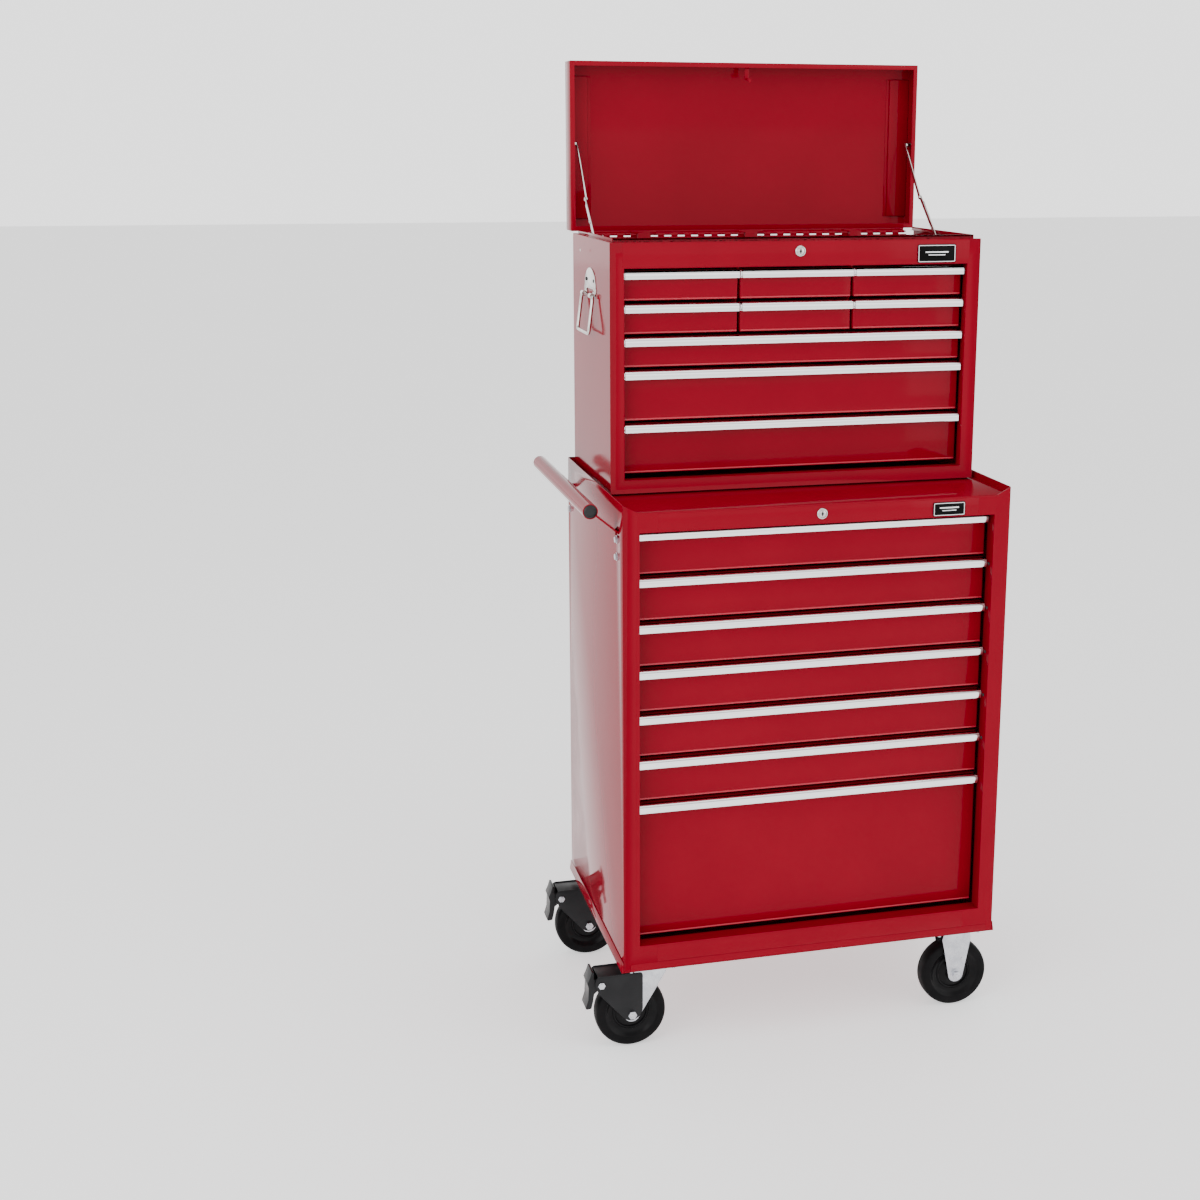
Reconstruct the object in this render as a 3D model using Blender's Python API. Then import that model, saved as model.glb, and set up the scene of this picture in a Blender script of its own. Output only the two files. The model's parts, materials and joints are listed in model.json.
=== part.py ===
"""Rolling tool chest: a roller cabinet of seven drawers under a top chest of nine drawers and a lift-up till.

Metres, +Z up, front towards -Y, the push handle and the braked casters on -X. The lid stands open and
every drawer is shut. All sizes are set in the cabinet's own frame, whose origin is on the floor under the
middle of the cabinet. The whole assembly hangs from one empty that moves the middle of its outline onto the
world origin.
"""

import math

import bmesh
import bpy
from mathutils import Matrix, Vector

# Stock and fits
SHEET = 0.001  # body and drawer sheet
FIT = 0.0003  # gap between pieces that touch
PIN_FIT = 0.0003  # radial gap round a turning pin
DRAWER_FIT = 0.0025  # gap at each end of a drawer front
DRAWER_GAP = 0.0055  # gap between one drawer front and the next
SLIDE_SPACE = 0.0135  # room for the ball slide on each side of a drawer pan

# Roller cabinet
CABINET_WIDTH = 0.680
CABINET_DEPTH = 0.456
CABINET_POST = 0.0285
CABINET_SILL = 0.0445
CABINET_HEADER = 0.033
CABINET_SILL_GAP = 0.005
CABINET_HEAD_GAP = 0.0025
CABINET_RETURN = 0.026  # how far the opening's edges turn back
CABINET_RECESS = 0.032  # drawer fronts behind the face frame
CABINET_SHALLOW_FRONT = 0.0735
CABINET_DEEP_FRONT = 0.241
CABINET_SHALLOW_COUNT = 6
CABINET_REAR_SPACE = 0.032
TRAY_RISE = 0.0015  # tray floor above the header's top edge
FLANGE_RISE = 0.0145  # side flanges above the header's top edge
FLANGE_SLOPE = 0.027  # width of the sloped corner of the face frame
LIP_OUT = 0.004
LIP_HEIGHT = 0.016
BASE_SHEET = 0.0015

# Top chest
CHEST_SIDE_GAP = 0.011
CHEST_DEPTH = 0.305
CHEST_REAR_GAP = 0.013
CHEST_FOOT = 0.0035
CHEST_POST = 0.0245
CHEST_SILL = 0.023
CHEST_HEADER = 0.043
CHEST_SILL_GAP = 0.008
CHEST_HEAD_GAP = 0.0042
CHEST_RETURN = 0.016
CHEST_RECESS = 0.020
CHEST_SHALLOW_FRONT = 0.0502
CHEST_DEEP_FRONT = 0.085
CHEST_SMALL_ROWS = 2
CHEST_COLUMNS = 3
CHEST_DEEP_ROWS = 2
CHEST_REAR_SPACE = 0.016
COLUMN_GAP = 0.005
SHOULDER = 0.0075  # seat for the lid round the till
RIM_HEIGHT = 0.006
FRONT_SHOULDER = 0.0145
RIM_CLEARANCE = 0.002  # between the rim's back end and the closed lid
POST_PITCH = 0.203  # between the three drawer-lock posts
POST_SIZE = (0.023, 0.012)
POST_BACK = 0.010  # behind a post
ROCKER = (0.045, 0.006, 0.005)
DIVIDER = 0.002

# Lid, its hinge and its two folding stays
LID_OVERHANG = 0.0015
LID_SKIRT = 0.044
LID_SEAT_GAP = 0.0008
LID_FRONT_SETBACK = 0.005
LID_FLANGE = 0.0085
LID_REAR_FLANGE = 0.007
HINGE_OUT = 0.005  # pin behind the chest's back
HINGE_DROP = 0.0032  # pin below the chest's shoulder
HINGE_KNUCKLE = 0.0025
HINGE_LEAF = 0.022
HINGE_SECTIONS = 5
STIFFENER_WIDTH = 0.038
STIFFENER_LENGTH = 0.251
STIFFENER_RAISE = 0.0015
STRIKER = (0.008, 0.0015, 0.030)  # width, thickness, length
STRIKER_RISE = 0.0085  # from the lid's rim plane in to the striker, which clears the till's rim
STRIKER_HOOK = 0.010  # past the rim plane
STAY_IN = 0.0108  # lower link inboard of the chest's side
STAY_THICK = 0.0015
STAY_WIDTH = 0.008
STAY_LOWER = 0.1262
STAY_UPPER = 0.1248
STAY_FOOT_Y = 0.150  # foot pivot forward of the chest's back
STAY_FOOT_DROP = 0.0212  # foot pivot below the shoulder
STAY_HEAD = 0.160  # head pivot above the hinge pin, lid open
STAY_HEAD_OUT = 0.017  # head pivot inside the lid's rim plane
STAY_STUD = 0.003

# Drawers and pulls
PAN_FLOOR_RISE = 0.006
PAN_DROP = 0.012  # pan sides below the top of the front
PULL_DEPTH = 0.015
PULL_HEIGHT = 0.0145

# Locks
LOCK_FACE = 0.0095
LOCK_BODY = 0.008
LOCK_PROUD = 0.003
LOCK_LENGTH = 0.014
LOCK_CAM = (0.015, 0.009, 0.002)
CABINET_LOCK_DROP = 0.0152  # key centre below the header's top edge
CHEST_LOCK_DROP = 0.0176

# Casters
WHEEL_RADIUS = 0.0625
WHEEL_HEADROOM = 0.031  # wheel's top to the cabinet's bottom edge
WHEEL_WIDTH = 0.032
WHEEL_SIDES = 24
AXLE_RADIUS = 0.004
HUB_HALF = 0.018
FORK_GAP = 0.0008  # hub to fork leg
FORK_LEG = 0.0025
FORK_END = 0.014
CASTER_X = 0.285  # plate centre from the cabinet's middle
CASTER_Y = 0.1815
CASTER_TRAIL = 0.035
CASTER_PLATE = (0.095, 0.075, 0.0025)
RACE_RADIUS = 0.030
RACE_HEIGHT = 0.008
NUT_RADIUS = 0.0075
NUT_HEIGHT = 0.007
BRAKE_SETBACK = 0.0085  # pedal's pin in from the wheel's rearmost point
BRAKE_LIFT = 0.0015  # and below the level of its top
BRAKE_PIN = 0.005
BRAKE_CHEEK = 0.0015
BRAKE_NUT = 0.004
PEDAL_HALF = 0.018
PEDAL_LIP = 0.0275  # the toe lip's edge from the pin

# Handles
PUSH_TUBE = 0.0127
PUSH_OUT = 0.046
PUSH_DROP = 0.0145  # tube centre below the side flange's top
PUSH_FRONT = 0.034  # tube's front end behind the cabinet's front
PUSH_LENGTH = 0.456
PUSH_STRAP = 0.025
PUSH_STRAP_THICK = 0.003
PUSH_STRAP_FRONT = 0.043
PUSH_STRAP_PITCH = 0.394
PUSH_SLOT_DROP = 0.054
PUSH_LEG = 0.052
BAIL_WIDTH = 0.094
BAIL_DROP = 0.063
BAIL_LEAN = 0.008
BAIL_ROD = 0.003
BAIL_OUT = 0.006
BAIL_BELOW = 0.097  # pivots below the chest's shoulder
BRACKET_HEIGHT = 0.046
BRACKET_THICK = 0.0015

# Worked-out heights, floor up
CABINET_BOTTOM = 2 * WHEEL_RADIUS + WHEEL_HEADROOM
CABINET_OPEN_BOTTOM = CABINET_BOTTOM + CABINET_SILL
CABINET_DRAWERS = (
    CABINET_DEEP_FRONT + CABINET_SHALLOW_COUNT * (CABINET_SHALLOW_FRONT + DRAWER_GAP)
)
CABINET_OPEN_TOP = CABINET_OPEN_BOTTOM + CABINET_SILL_GAP + CABINET_DRAWERS + CABINET_HEAD_GAP
HEADER_TOP = CABINET_OPEN_TOP + CABINET_HEADER
TRAY_FLOOR = HEADER_TOP + TRAY_RISE
FLANGE_TOP = HEADER_TOP + FLANGE_RISE
CHEST_BOTTOM = TRAY_FLOOR + FIT + CHEST_FOOT
CHEST_ROWS = 1 + CHEST_SMALL_ROWS + CHEST_DEEP_ROWS
CHEST_OPEN_BOTTOM = CHEST_BOTTOM + CHEST_SILL
CHEST_DRAWERS = (
    CHEST_DEEP_ROWS * CHEST_DEEP_FRONT
    + (1 + CHEST_SMALL_ROWS) * CHEST_SHALLOW_FRONT
    + (CHEST_ROWS - 1) * DRAWER_GAP
)
CHEST_OPEN_TOP = CHEST_OPEN_BOTTOM + CHEST_SILL_GAP + CHEST_DRAWERS + CHEST_HEAD_GAP
CHEST_TOP = CHEST_OPEN_TOP + CHEST_HEADER
TILL_FLOOR = CHEST_OPEN_TOP + SHEET + FIT

# Worked-out places across and along
CABINET_HALF = CABINET_WIDTH / 2
CABINET_FRONT = -CABINET_DEPTH / 2
CABINET_BACK = CABINET_DEPTH / 2
CHEST_HALF = CABINET_HALF - CHEST_SIDE_GAP
CHEST_BACK = CABINET_BACK - CHEST_REAR_GAP
CHEST_FRONT = CHEST_BACK - CHEST_DEPTH
CHEST_MIDDLE = (CHEST_FRONT + CHEST_BACK) / 2
RIM_OUTER = CHEST_HALF - SHOULDER
RIM_FRONT = CHEST_FRONT + FRONT_SHOULDER
LID_HALF = CHEST_HALF + LID_OVERHANG
HINGE = Vector((0, CHEST_BACK + HINGE_OUT, CHEST_TOP - HINGE_DROP))
LID_RIM = HINGE.y + CHEST_TOP + LID_SEAT_GAP - HINGE.z
LID_BOTTOM = HINGE.z + HINGE_OUT + SHEET
LID_TOP = HINGE.z + HINGE.y - CHEST_FRONT - LID_FRONT_SETBACK
LID_BACK = LID_RIM + LID_SKIRT
RIM_BACK = HINGE.y - (LID_BOTTOM - HINGE.z) - LID_REAR_FLANGE - RIM_CLEARANCE
STAY_FOOT = (CHEST_BACK - STAY_FOOT_Y, CHEST_TOP - STAY_FOOT_DROP)
STAY_TOP = (LID_RIM + STAY_HEAD_OUT, HINGE.z + STAY_HEAD)
FORK_TOP = CABINET_BOTTOM - FIT - BASE_SHEET - CASTER_PLATE[2] - FIT
FORK_INNER = HUB_HALF + FORK_GAP
FORK_OUTER = FORK_INNER + FORK_LEG
NUT_FACE = FORK_OUTER + NUT_HEIGHT
WHEEL_LEFT = -CASTER_X - CASTER_TRAIL
PUSH_X = -CABINET_HALF - PUSH_OUT
PUSH_Z = FLANGE_TOP - PUSH_DROP
PUSH_Y = CABINET_FRONT + PUSH_FRONT
BRAKE_PIN_X = WHEEL_LEFT - WHEEL_RADIUS + BRAKE_SETBACK
BRAKE_PIN_Z = 2 * WHEEL_RADIUS - BRAKE_LIFT

# The outline at rest, whose middle is the origin
OUTLINE_LEFT = BRAKE_PIN_X - PEDAL_LIP
OUTLINE_RIGHT = CABINET_HALF + LIP_OUT
OUTLINE_FRONT = CABINET_FRONT - LOCK_PROUD
OUTLINE_BACK = LID_BACK

# Colours: base colour, roughness, metallic
FINISHES = {
    "red_paint": ((0.37, 0.004, 0.016), 0.22, 0.0),
    "aluminium": ((0.86, 0.87, 0.88), 0.25, 1.0),
    "zinc_plate": ((0.62, 0.63, 0.65), 0.35, 1.0),
    "nickel_plate": ((0.72, 0.70, 0.67), 0.20, 1.0),
    "black_steel": ((0.020, 0.020, 0.022), 0.45, 0.0),
    "black_rubber": ((0.018, 0.017, 0.019), 0.60, 0.0),
}


def clear_scene():
    """Remove what a new file holds, so that the model is built alone."""
    for obj in list(bpy.data.objects):
        bpy.data.objects.remove(obj, do_unlink=True)


def finish(name):
    """Return the material of that name, made on first use."""
    material = bpy.data.materials.get(name)
    if material:
        return material
    colour, roughness, metallic = FINISHES[name]
    material = bpy.data.materials.new(name)
    material.use_nodes = True
    shader = material.node_tree.nodes["Principled BSDF"]
    shader.inputs["Base Color"].default_value = (*colour, 1.0)
    shader.inputs["Roughness"].default_value = roughness
    shader.inputs["Metallic"].default_value = metallic
    return material


def to_mesh(bm):
    """Close a bmesh: point its faces outwards and return it as a mesh."""
    bmesh.ops.recalc_face_normals(bm, faces=bm.faces[:])
    mesh = bpy.data.meshes.new("solid")
    bm.to_mesh(mesh)
    bm.free()
    return mesh


def box(low, high):
    """Return a block between two corners."""
    low, high = Vector(low), Vector(high)
    size = Matrix.Diagonal((*(high - low), 1.0))
    bm = bmesh.new()
    bmesh.ops.create_cube(bm, size=1.0, matrix=Matrix.Translation((low + high) / 2) @ size)
    return to_mesh(bm)


def rod(radius, start, end, sides=16, turn=0.0):
    """Return a round bar from start to end."""
    start, end = Vector(start), Vector(end)
    along = end - start
    aim = along.to_track_quat("Z", "Y").to_matrix().to_4x4() @ Matrix.Rotation(turn, 4, "Z")
    bm = bmesh.new()
    bmesh.ops.create_cone(
        bm,
        cap_ends=True,
        segments=sides,
        radius1=radius,
        radius2=radius,
        depth=along.length,
        matrix=Matrix.Translation((start + end) / 2) @ aim,
    )
    return to_mesh(bm)


def prism(outline, axis, low, high):
    """Return an outline pushed along an axis; its two numbers are the other two axes, in XYZ order."""
    index = "XYZ".index(axis)
    bm = bmesh.new()
    verts = []
    for first, second in outline:
        place = [first, second]
        place.insert(index, low)
        verts.append(bm.verts.new(place))
    face = bm.faces.new(verts)
    top = bmesh.ops.extrude_face_region(bm, geom=[face])["geom"]
    push = [0.0, 0.0, 0.0]
    push[index] = high - low
    bmesh.ops.translate(bm, vec=push, verts=[v for v in top if isinstance(v, bmesh.types.BMVert)])
    return to_mesh(bm)


def turned(profile, sides, centre):
    """Return a closed profile of (radius, y) turned about an axis along Y, with a flat facet below."""
    bm = bmesh.new()
    rise = 1.0 / math.cos(math.pi / sides)
    ring = [bm.verts.new((radius * rise, y, 0.0)) for radius, y in profile]
    edges = [bm.edges.new((ring[i - 1], ring[i])) for i in range(len(ring))]
    bmesh.ops.rotate(bm, cent=(0, 0, 0), matrix=Matrix.Rotation(math.pi / sides, 3, "Y"), verts=ring)
    bmesh.ops.spin(
        bm, geom=ring + edges, cent=(0, 0, 0), axis=(0, 1, 0), angle=math.tau, steps=sides, use_merge=True
    )
    bmesh.ops.translate(bm, vec=centre, verts=bm.verts[:])
    return to_mesh(bm)


def combine(first, *steps):
    """Add to or cut from a mesh. Each step is ("UNION" or "DIFFERENCE", mesh)."""
    for operation, second in steps:
        body = bpy.data.objects.new("body", first)
        tool = bpy.data.objects.new("tool", second)
        bpy.context.scene.collection.objects.link(body)
        bpy.context.scene.collection.objects.link(tool)
        cut = body.modifiers.new("cut", "BOOLEAN")
        cut.operation = operation
        cut.object = tool
        cut.solver = "EXACT"
        bpy.context.view_layer.update()
        shaped = body.evaluated_get(bpy.context.evaluated_depsgraph_get())
        result = bpy.data.meshes.new_from_object(shaped)
        for obj in (body, tool):
            bpy.data.objects.remove(obj, do_unlink=True)
        first = result
    return first


def add(*meshes):
    """Return union steps for combine."""
    return [("UNION", mesh) for mesh in meshes]


def cut(*meshes):
    """Return difference steps for combine."""
    return [("DIFFERENCE", mesh) for mesh in meshes]


def mirrored(mesh):
    """Return a copy of a mesh reflected in the plane x = 0."""
    copy = mesh.copy()
    copy.transform(Matrix.Diagonal((-1.0, 1.0, 1.0, 1.0)))
    copy.flip_normals()
    return copy


def place(name, mesh, finish_name, frame, pivot=(0, 0, 0), smooth=False):
    """Make the named object, with its origin at a point on its joint's axis."""
    pivot = Vector(pivot)
    mesh.transform(Matrix.Translation(-pivot))
    mesh.name = name
    mesh.materials.clear()
    mesh.materials.append(finish(finish_name))
    if smooth:
        mesh.shade_smooth()
        mesh.set_sharp_from_angle(angle=math.radians(35))
    obj = bpy.data.objects.new(name, mesh)
    obj.parent = frame
    obj.location = pivot
    bpy.context.scene.collection.objects.link(obj)
    return obj


def arc(centre, radius, start, end, steps):
    """Return points on an arc, angles in degrees."""
    angles = [math.radians(start + (end - start) * i / steps) for i in range(steps + 1)]
    return [(centre[0] + radius * math.cos(a), centre[1] + radius * math.sin(a)) for a in angles]


def wrap(half, front, back, low, high):
    """Return three walls of a case: both sides and the back, open to the front."""
    inner = half - SHEET
    outline = [
        (-half, front), (-inner, front), (-inner, back - SHEET), (inner, back - SHEET),
        (inner, front), (half, front), (half, back), (-half, back),
    ]  # fmt: skip
    return prism(outline, "Z", low, high)


def face_frame(outline, front, opening, back):
    """Return a front plate with an opening whose edges turn back into the case."""
    (left, bottom), (right, top) = opening
    plate = prism(outline, "Y", front, front + SHEET)
    ring = box((left - SHEET, front + SHEET / 2, bottom - SHEET), (right + SHEET, back, top + SHEET))
    hole = box((left, front - SHEET, bottom), (right, back + SHEET, top))
    return combine(plate, *add(ring), *cut(hole))


def lock_hole(front, x, z):
    """Return the cutter for a lock's hole in a front plate."""
    return rod(LOCK_BODY + PIN_FIT, (x, front - SHEET, z), (x, front + 3 * SHEET, z))


def cabinet_shell(frame):
    """Both sides and the back of the cabinet, with two slots for the push handle's straps."""
    body = wrap(CABINET_HALF, CABINET_FRONT + SHEET + FIT, CABINET_BACK, CABINET_BOTTOM, FLANGE_TOP)
    slots = []
    middle, room = FLANGE_TOP - PUSH_SLOT_DROP, 2 * PUSH_STRAP_THICK
    for y in strap_places():
        low = (-CABINET_HALF - SHEET, y - FIT, middle - room)
        high = (-CABINET_HALF + 2 * SHEET, y + PUSH_STRAP + FIT, middle + room)
        slots.append(box(low, high))
    place("cabinet_shell", combine(body, *cut(*slots)), "red_paint", frame)


def cabinet_face_frame(frame):
    """The cabinet's front: posts, sill and header, with corners that slope up to the side flanges."""
    outline = [
        (-CABINET_HALF, CABINET_BOTTOM), (CABINET_HALF, CABINET_BOTTOM), (CABINET_HALF, FLANGE_TOP),
        (CABINET_HALF - FLANGE_SLOPE, HEADER_TOP), (-CABINET_HALF + FLANGE_SLOPE, HEADER_TOP),
        (-CABINET_HALF, FLANGE_TOP),
    ]  # fmt: skip
    half = CABINET_HALF - CABINET_POST
    opening = ((-half, CABINET_OPEN_BOTTOM), (half, CABINET_OPEN_TOP))
    body = face_frame(outline, CABINET_FRONT, opening, CABINET_FRONT + CABINET_RETURN)
    hole = lock_hole(CABINET_FRONT, 0.0, HEADER_TOP - CABINET_LOCK_DROP)
    place("cabinet_face_frame", combine(body, *cut(hole)), "red_paint", frame)


def cabinet_top_tray(frame):
    """The tray that closes the cabinet's top, turned up along both side flanges."""
    half = CABINET_HALF - SHEET - FIT
    inner = half - SHEET
    top = FLANGE_TOP - SHEET
    outline = [
        (-half, TRAY_FLOOR - SHEET), (half, TRAY_FLOOR - SHEET), (half, top), (inner, top),
        (inner, TRAY_FLOOR), (-inner, TRAY_FLOOR), (-inner, top), (-half, top),
    ]  # fmt: skip
    body = prism(outline, "Y", CABINET_FRONT + SHEET + FIT, CABINET_BACK - SHEET - FIT)
    place("cabinet_top_tray", body, "red_paint", frame)


def cabinet_base(frame):
    """The bottom panel, its two side lips and the plates that the casters bolt to."""
    top = CABINET_BOTTOM - FIT
    low = top - BASE_SHEET
    edge = CABINET_HALF + FIT
    side = CABINET_HALF + LIP_OUT
    lip = CABINET_BOTTOM + LIP_HEIGHT
    outline = [
        (-side, low), (side, low), (edge + SHEET, lip), (edge, lip), (edge, top),
        (-edge, top), (-edge, lip), (-edge - SHEET, lip),
    ]  # fmt: skip
    body = prism(outline, "Y", CABINET_FRONT, CABINET_BACK)
    plates = []
    for x in (-CASTER_X, CASTER_X):
        for y in (-CASTER_Y, CASTER_Y):
            size = Vector(CASTER_PLATE) / 2
            plates.append(
                box(
                    (x - size.x, y - size.y, low - CASTER_PLATE[2]),
                    (x + size.x, y + size.y, low + BASE_SHEET / 3),
                )
            )
    place("cabinet_base", combine(body, *add(*plates)), "red_paint", frame)


def lock(name, frame, x, front, z):
    """A key lock that turns a quarter turn: its face, its barrel and the cam behind it."""
    face = rod(LOCK_FACE, (x, front - LOCK_PROUD, z), (x, front - FIT, z), sides=20)
    barrel = rod(LOCK_BODY, (x, front - LOCK_PROUD / 2, z), (x, front + LOCK_LENGTH, z))
    reach, width, thick = LOCK_CAM
    cam = box(
        (x - width / 2, front + LOCK_LENGTH - thick / 2, z - width / 2),
        (x + reach, front + LOCK_LENGTH + thick, z + width / 2),
    )
    slot = box(
        (x - SHEET / 2, front - 2 * LOCK_PROUD, z - LOCK_FACE / 2),
        (x + SHEET / 2, front - LOCK_PROUD / 2, z + LOCK_FACE / 2),
    )
    body = combine(face, *add(barrel, cam), *cut(slot))
    place(name, body, "zinc_plate", frame, pivot=(x, front, z), smooth=True)


def drawer(name, frame, left, right, bottom, height, front, depth):
    """One drawer: a sheet pan with its full-size front, and the pull along the front's top edge."""
    pan_left = left + SLIDE_SPACE - DRAWER_FIT
    pan_right = right - SLIDE_SPACE + DRAWER_FIT
    floor = bottom + PAN_FLOOR_RISE
    pan = combine(
        box((pan_left, front + SHEET / 2, floor), (pan_right, front + depth, bottom + height - PAN_DROP)),
        *cut(
            box(
                (pan_left + SHEET, front + SHEET, floor + SHEET),
                (pan_right - SHEET, front + depth - SHEET, bottom + height),
            )
        ),
        *add(box((left, front, bottom), (right, front + SHEET, bottom + height))),
    )
    pivot = ((left + right) / 2, front, bottom)
    place(name, pan, "red_paint", frame, pivot=pivot)
    pull = prism(pull_outline(front, bottom + height), "X", left, right)
    place(name + "_pull", pull, "aluminium", frame, pivot=pivot)


def pull_outline(front, top):
    """Return the section of a pull: a rounded nose with a finger hollow under it."""
    back = front - FIT
    nose = PULL_DEPTH - FIT
    return [
        (back, top),
        (back - 0.55 * nose, top - 0.02 * PULL_HEIGHT),
        (back - 0.85 * nose, top - 0.20 * PULL_HEIGHT),
        (back - nose, top - 0.50 * PULL_HEIGHT),
        (back - nose, top - 0.75 * PULL_HEIGHT),
        (back - 0.90 * nose, top - PULL_HEIGHT),
        (back - 0.75 * nose, top - PULL_HEIGHT),
        (back - 0.60 * nose, top - 0.55 * PULL_HEIGHT),
        (back - 0.15 * nose, top - 0.50 * PULL_HEIGHT),
        (back, top - PULL_HEIGHT),
    ]


def cabinet_drawers(frame):
    """Seven drawers, one deep one at the bottom, numbered from the top."""
    half = CABINET_HALF - CABINET_POST - DRAWER_FIT
    front = CABINET_FRONT + CABINET_RECESS
    depth = CABINET_BACK - SHEET - CABINET_REAR_SPACE - front
    bottom = CABINET_OPEN_BOTTOM + CABINET_SILL_GAP
    number = CABINET_SHALLOW_COUNT + 1
    height = CABINET_DEEP_FRONT
    while number:
        drawer(f"cabinet_drawer_{number}", frame, -half, half, bottom, height, front, depth)
        bottom += height + DRAWER_GAP
        height = CABINET_SHALLOW_FRONT
        number -= 1


def chest_columns():
    """Return the left and right edges of each small drawer front, left to right."""
    half = CHEST_HALF - CHEST_POST - DRAWER_FIT
    width = (2 * half - (CHEST_COLUMNS - 1) * COLUMN_GAP) / CHEST_COLUMNS
    lefts = [-half + i * (width + COLUMN_GAP) for i in range(CHEST_COLUMNS)]
    return [(left, left + width) for left in lefts]


def chest_drawers(frame):
    """Two rows of three small drawers over three full-width ones, rows numbered from the top."""
    half = CHEST_HALF - CHEST_POST - DRAWER_FIT
    front = CHEST_FRONT + CHEST_RECESS
    depth = CHEST_BACK - SHEET - CHEST_REAR_SPACE - front
    bottom = CHEST_OPEN_BOTTOM + CHEST_SILL_GAP
    for row in range(CHEST_ROWS, 0, -1):
        deep = row > CHEST_ROWS - CHEST_DEEP_ROWS
        height = CHEST_DEEP_FRONT if deep else CHEST_SHALLOW_FRONT
        if row > CHEST_SMALL_ROWS:
            drawer(f"chest_drawer_r{row}", frame, -half, half, bottom, height, front, depth)
        else:
            for side, (left, right) in zip(("left", "middle", "right"), chest_columns()):
                drawer(f"chest_drawer_r{row}_{side}", frame, left, right, bottom, height, front, depth)
        bottom += height + DRAWER_GAP


def bracket_outline():
    """Return the carry-handle bracket's plate: a round head between two wings that end at the pivots."""
    y, z = CHEST_MIDDLE, CHEST_TOP - BAIL_BELOW
    half = BAIL_WIDTH / 2 - 2 * BAIL_ROD
    head = arc((y, z + BRACKET_HEIGHT / 2), BRACKET_HEIGHT / 2, 0, 180, 8)
    low, high = z - BAIL_ROD, z + 2 * BAIL_ROD
    return [(y + half, low), (y + half, high), *head, (y - half, high), (y - half, low)]


def carry_bracket():
    """Return the bracket on the chest's left side, with the two lugs that the bail turns on."""
    z = CHEST_TOP - BAIL_BELOW
    half = BAIL_WIDTH / 2 - 2 * BAIL_ROD
    face = -CHEST_HALF - BRACKET_THICK
    plate = prism(bracket_outline(), "X", face, -CHEST_HALF + SHEET / 2)
    lugs = []
    for y in (CHEST_MIDDLE - half, CHEST_MIDDLE + half - 2 * BAIL_ROD):
        low = (-CHEST_HALF - BAIL_OUT - BAIL_ROD, y, z - BAIL_ROD)
        high = (-CHEST_HALF + SHEET / 2, y + 2 * BAIL_ROD, z + BAIL_ROD)
        lugs.append(box(low, high))
    return combine(plate, *add(*lugs))


def side_rim():
    """Return the shoulder along the top of the chest's left side and the rim that stands inside the lid."""
    front = RIM_FRONT + SHEET + FIT
    inner = -RIM_OUTER + SHEET
    edge, back = -CHEST_HALF + SHEET / 2, CHEST_BACK - SHEET / 2
    shoulder = box((edge, front, CHEST_TOP - SHEET), (inner, back, CHEST_TOP))
    rim = box((-RIM_OUTER, front, CHEST_TOP - SHEET / 2), (inner, RIM_BACK, CHEST_TOP + RIM_HEIGHT))
    return combine(shoulder, *add(rim))


def stay_stud(wall, face, y, z):
    """Return the stud that a stay link turns on, from a wall to the link's face."""
    return rod(STAY_STUD, (wall, y, z), (face, y, z), sides=10)


def chest_bottom():
    """Return the chest's bottom, pressed down into a foot along each side that stands in the tray."""
    half = CHEST_HALF - SHEET / 2
    foot = TRAY_FLOOR + FIT
    top = CHEST_BOTTOM + SHEET
    inner = half - 4 * CHEST_POST
    outline = [
        (-half, foot), (-inner, foot), (-inner, top - SHEET), (inner, top - SHEET), (inner, foot),
        (half, foot), (half, top), (-half, top),
    ]  # fmt: skip
    return prism(outline, "Y", CHEST_FRONT + CHEST_RECESS, CHEST_BACK - SHEET / 2)


def chest_shell(frame):
    """The chest's sides, back and bottom, the side shoulders, the stays' studs and the carry brackets."""
    body = wrap(CHEST_HALF, CHEST_FRONT + SHEET + FIT, CHEST_BACK, CHEST_BOTTOM, CHEST_TOP)
    notch_half = RIM_OUTER - SHEET
    notch = box(
        (-notch_half, CHEST_BACK - 2 * SHEET, HINGE.z - 2.4 * HINGE_KNUCKLE),
        (notch_half, CHEST_BACK + SHEET, CHEST_TOP + RIM_HEIGHT + SHEET),
    )
    stud = stay_stud(-CHEST_HALF + SHEET / 2, -CHEST_HALF + STAY_IN - FIT, *STAY_FOOT)
    rim, bracket = side_rim(), carry_bracket()
    parts = [chest_bottom(), rim, mirrored(rim), stud, mirrored(stud), bracket, mirrored(bracket)]
    place("chest_shell", combine(body, *add(*parts), *cut(notch)), "red_paint", frame)


def chest_face_frame(frame):
    """The chest's front: posts, sill and header, with the lid's front shoulder and rim."""
    half = CHEST_HALF - CHEST_POST
    outline = [
        (-CHEST_HALF, CHEST_BOTTOM), (CHEST_HALF, CHEST_BOTTOM),
        (CHEST_HALF, CHEST_TOP), (-CHEST_HALF, CHEST_TOP),
    ]  # fmt: skip
    opening = ((-half, CHEST_OPEN_BOTTOM), (half, CHEST_OPEN_TOP))
    body = face_frame(outline, CHEST_FRONT, opening, CHEST_FRONT + CHEST_RETURN)
    rim_half = RIM_OUTER - SHEET - FIT
    section = [
        (CHEST_FRONT + SHEET / 2, CHEST_TOP - SHEET), (RIM_FRONT + SHEET, CHEST_TOP - SHEET),
        (RIM_FRONT + SHEET, CHEST_TOP + RIM_HEIGHT), (RIM_FRONT, CHEST_TOP + RIM_HEIGHT),
        (RIM_FRONT, CHEST_TOP), (CHEST_FRONT + SHEET / 2, CHEST_TOP),
    ]  # fmt: skip
    rim = prism(section, "X", -rim_half, rim_half)
    hole = lock_hole(CHEST_FRONT, 0.0, CHEST_TOP - CHEST_LOCK_DROP)
    place("chest_face_frame", combine(body, *add(rim), *cut(hole)), "red_paint", frame)


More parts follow.
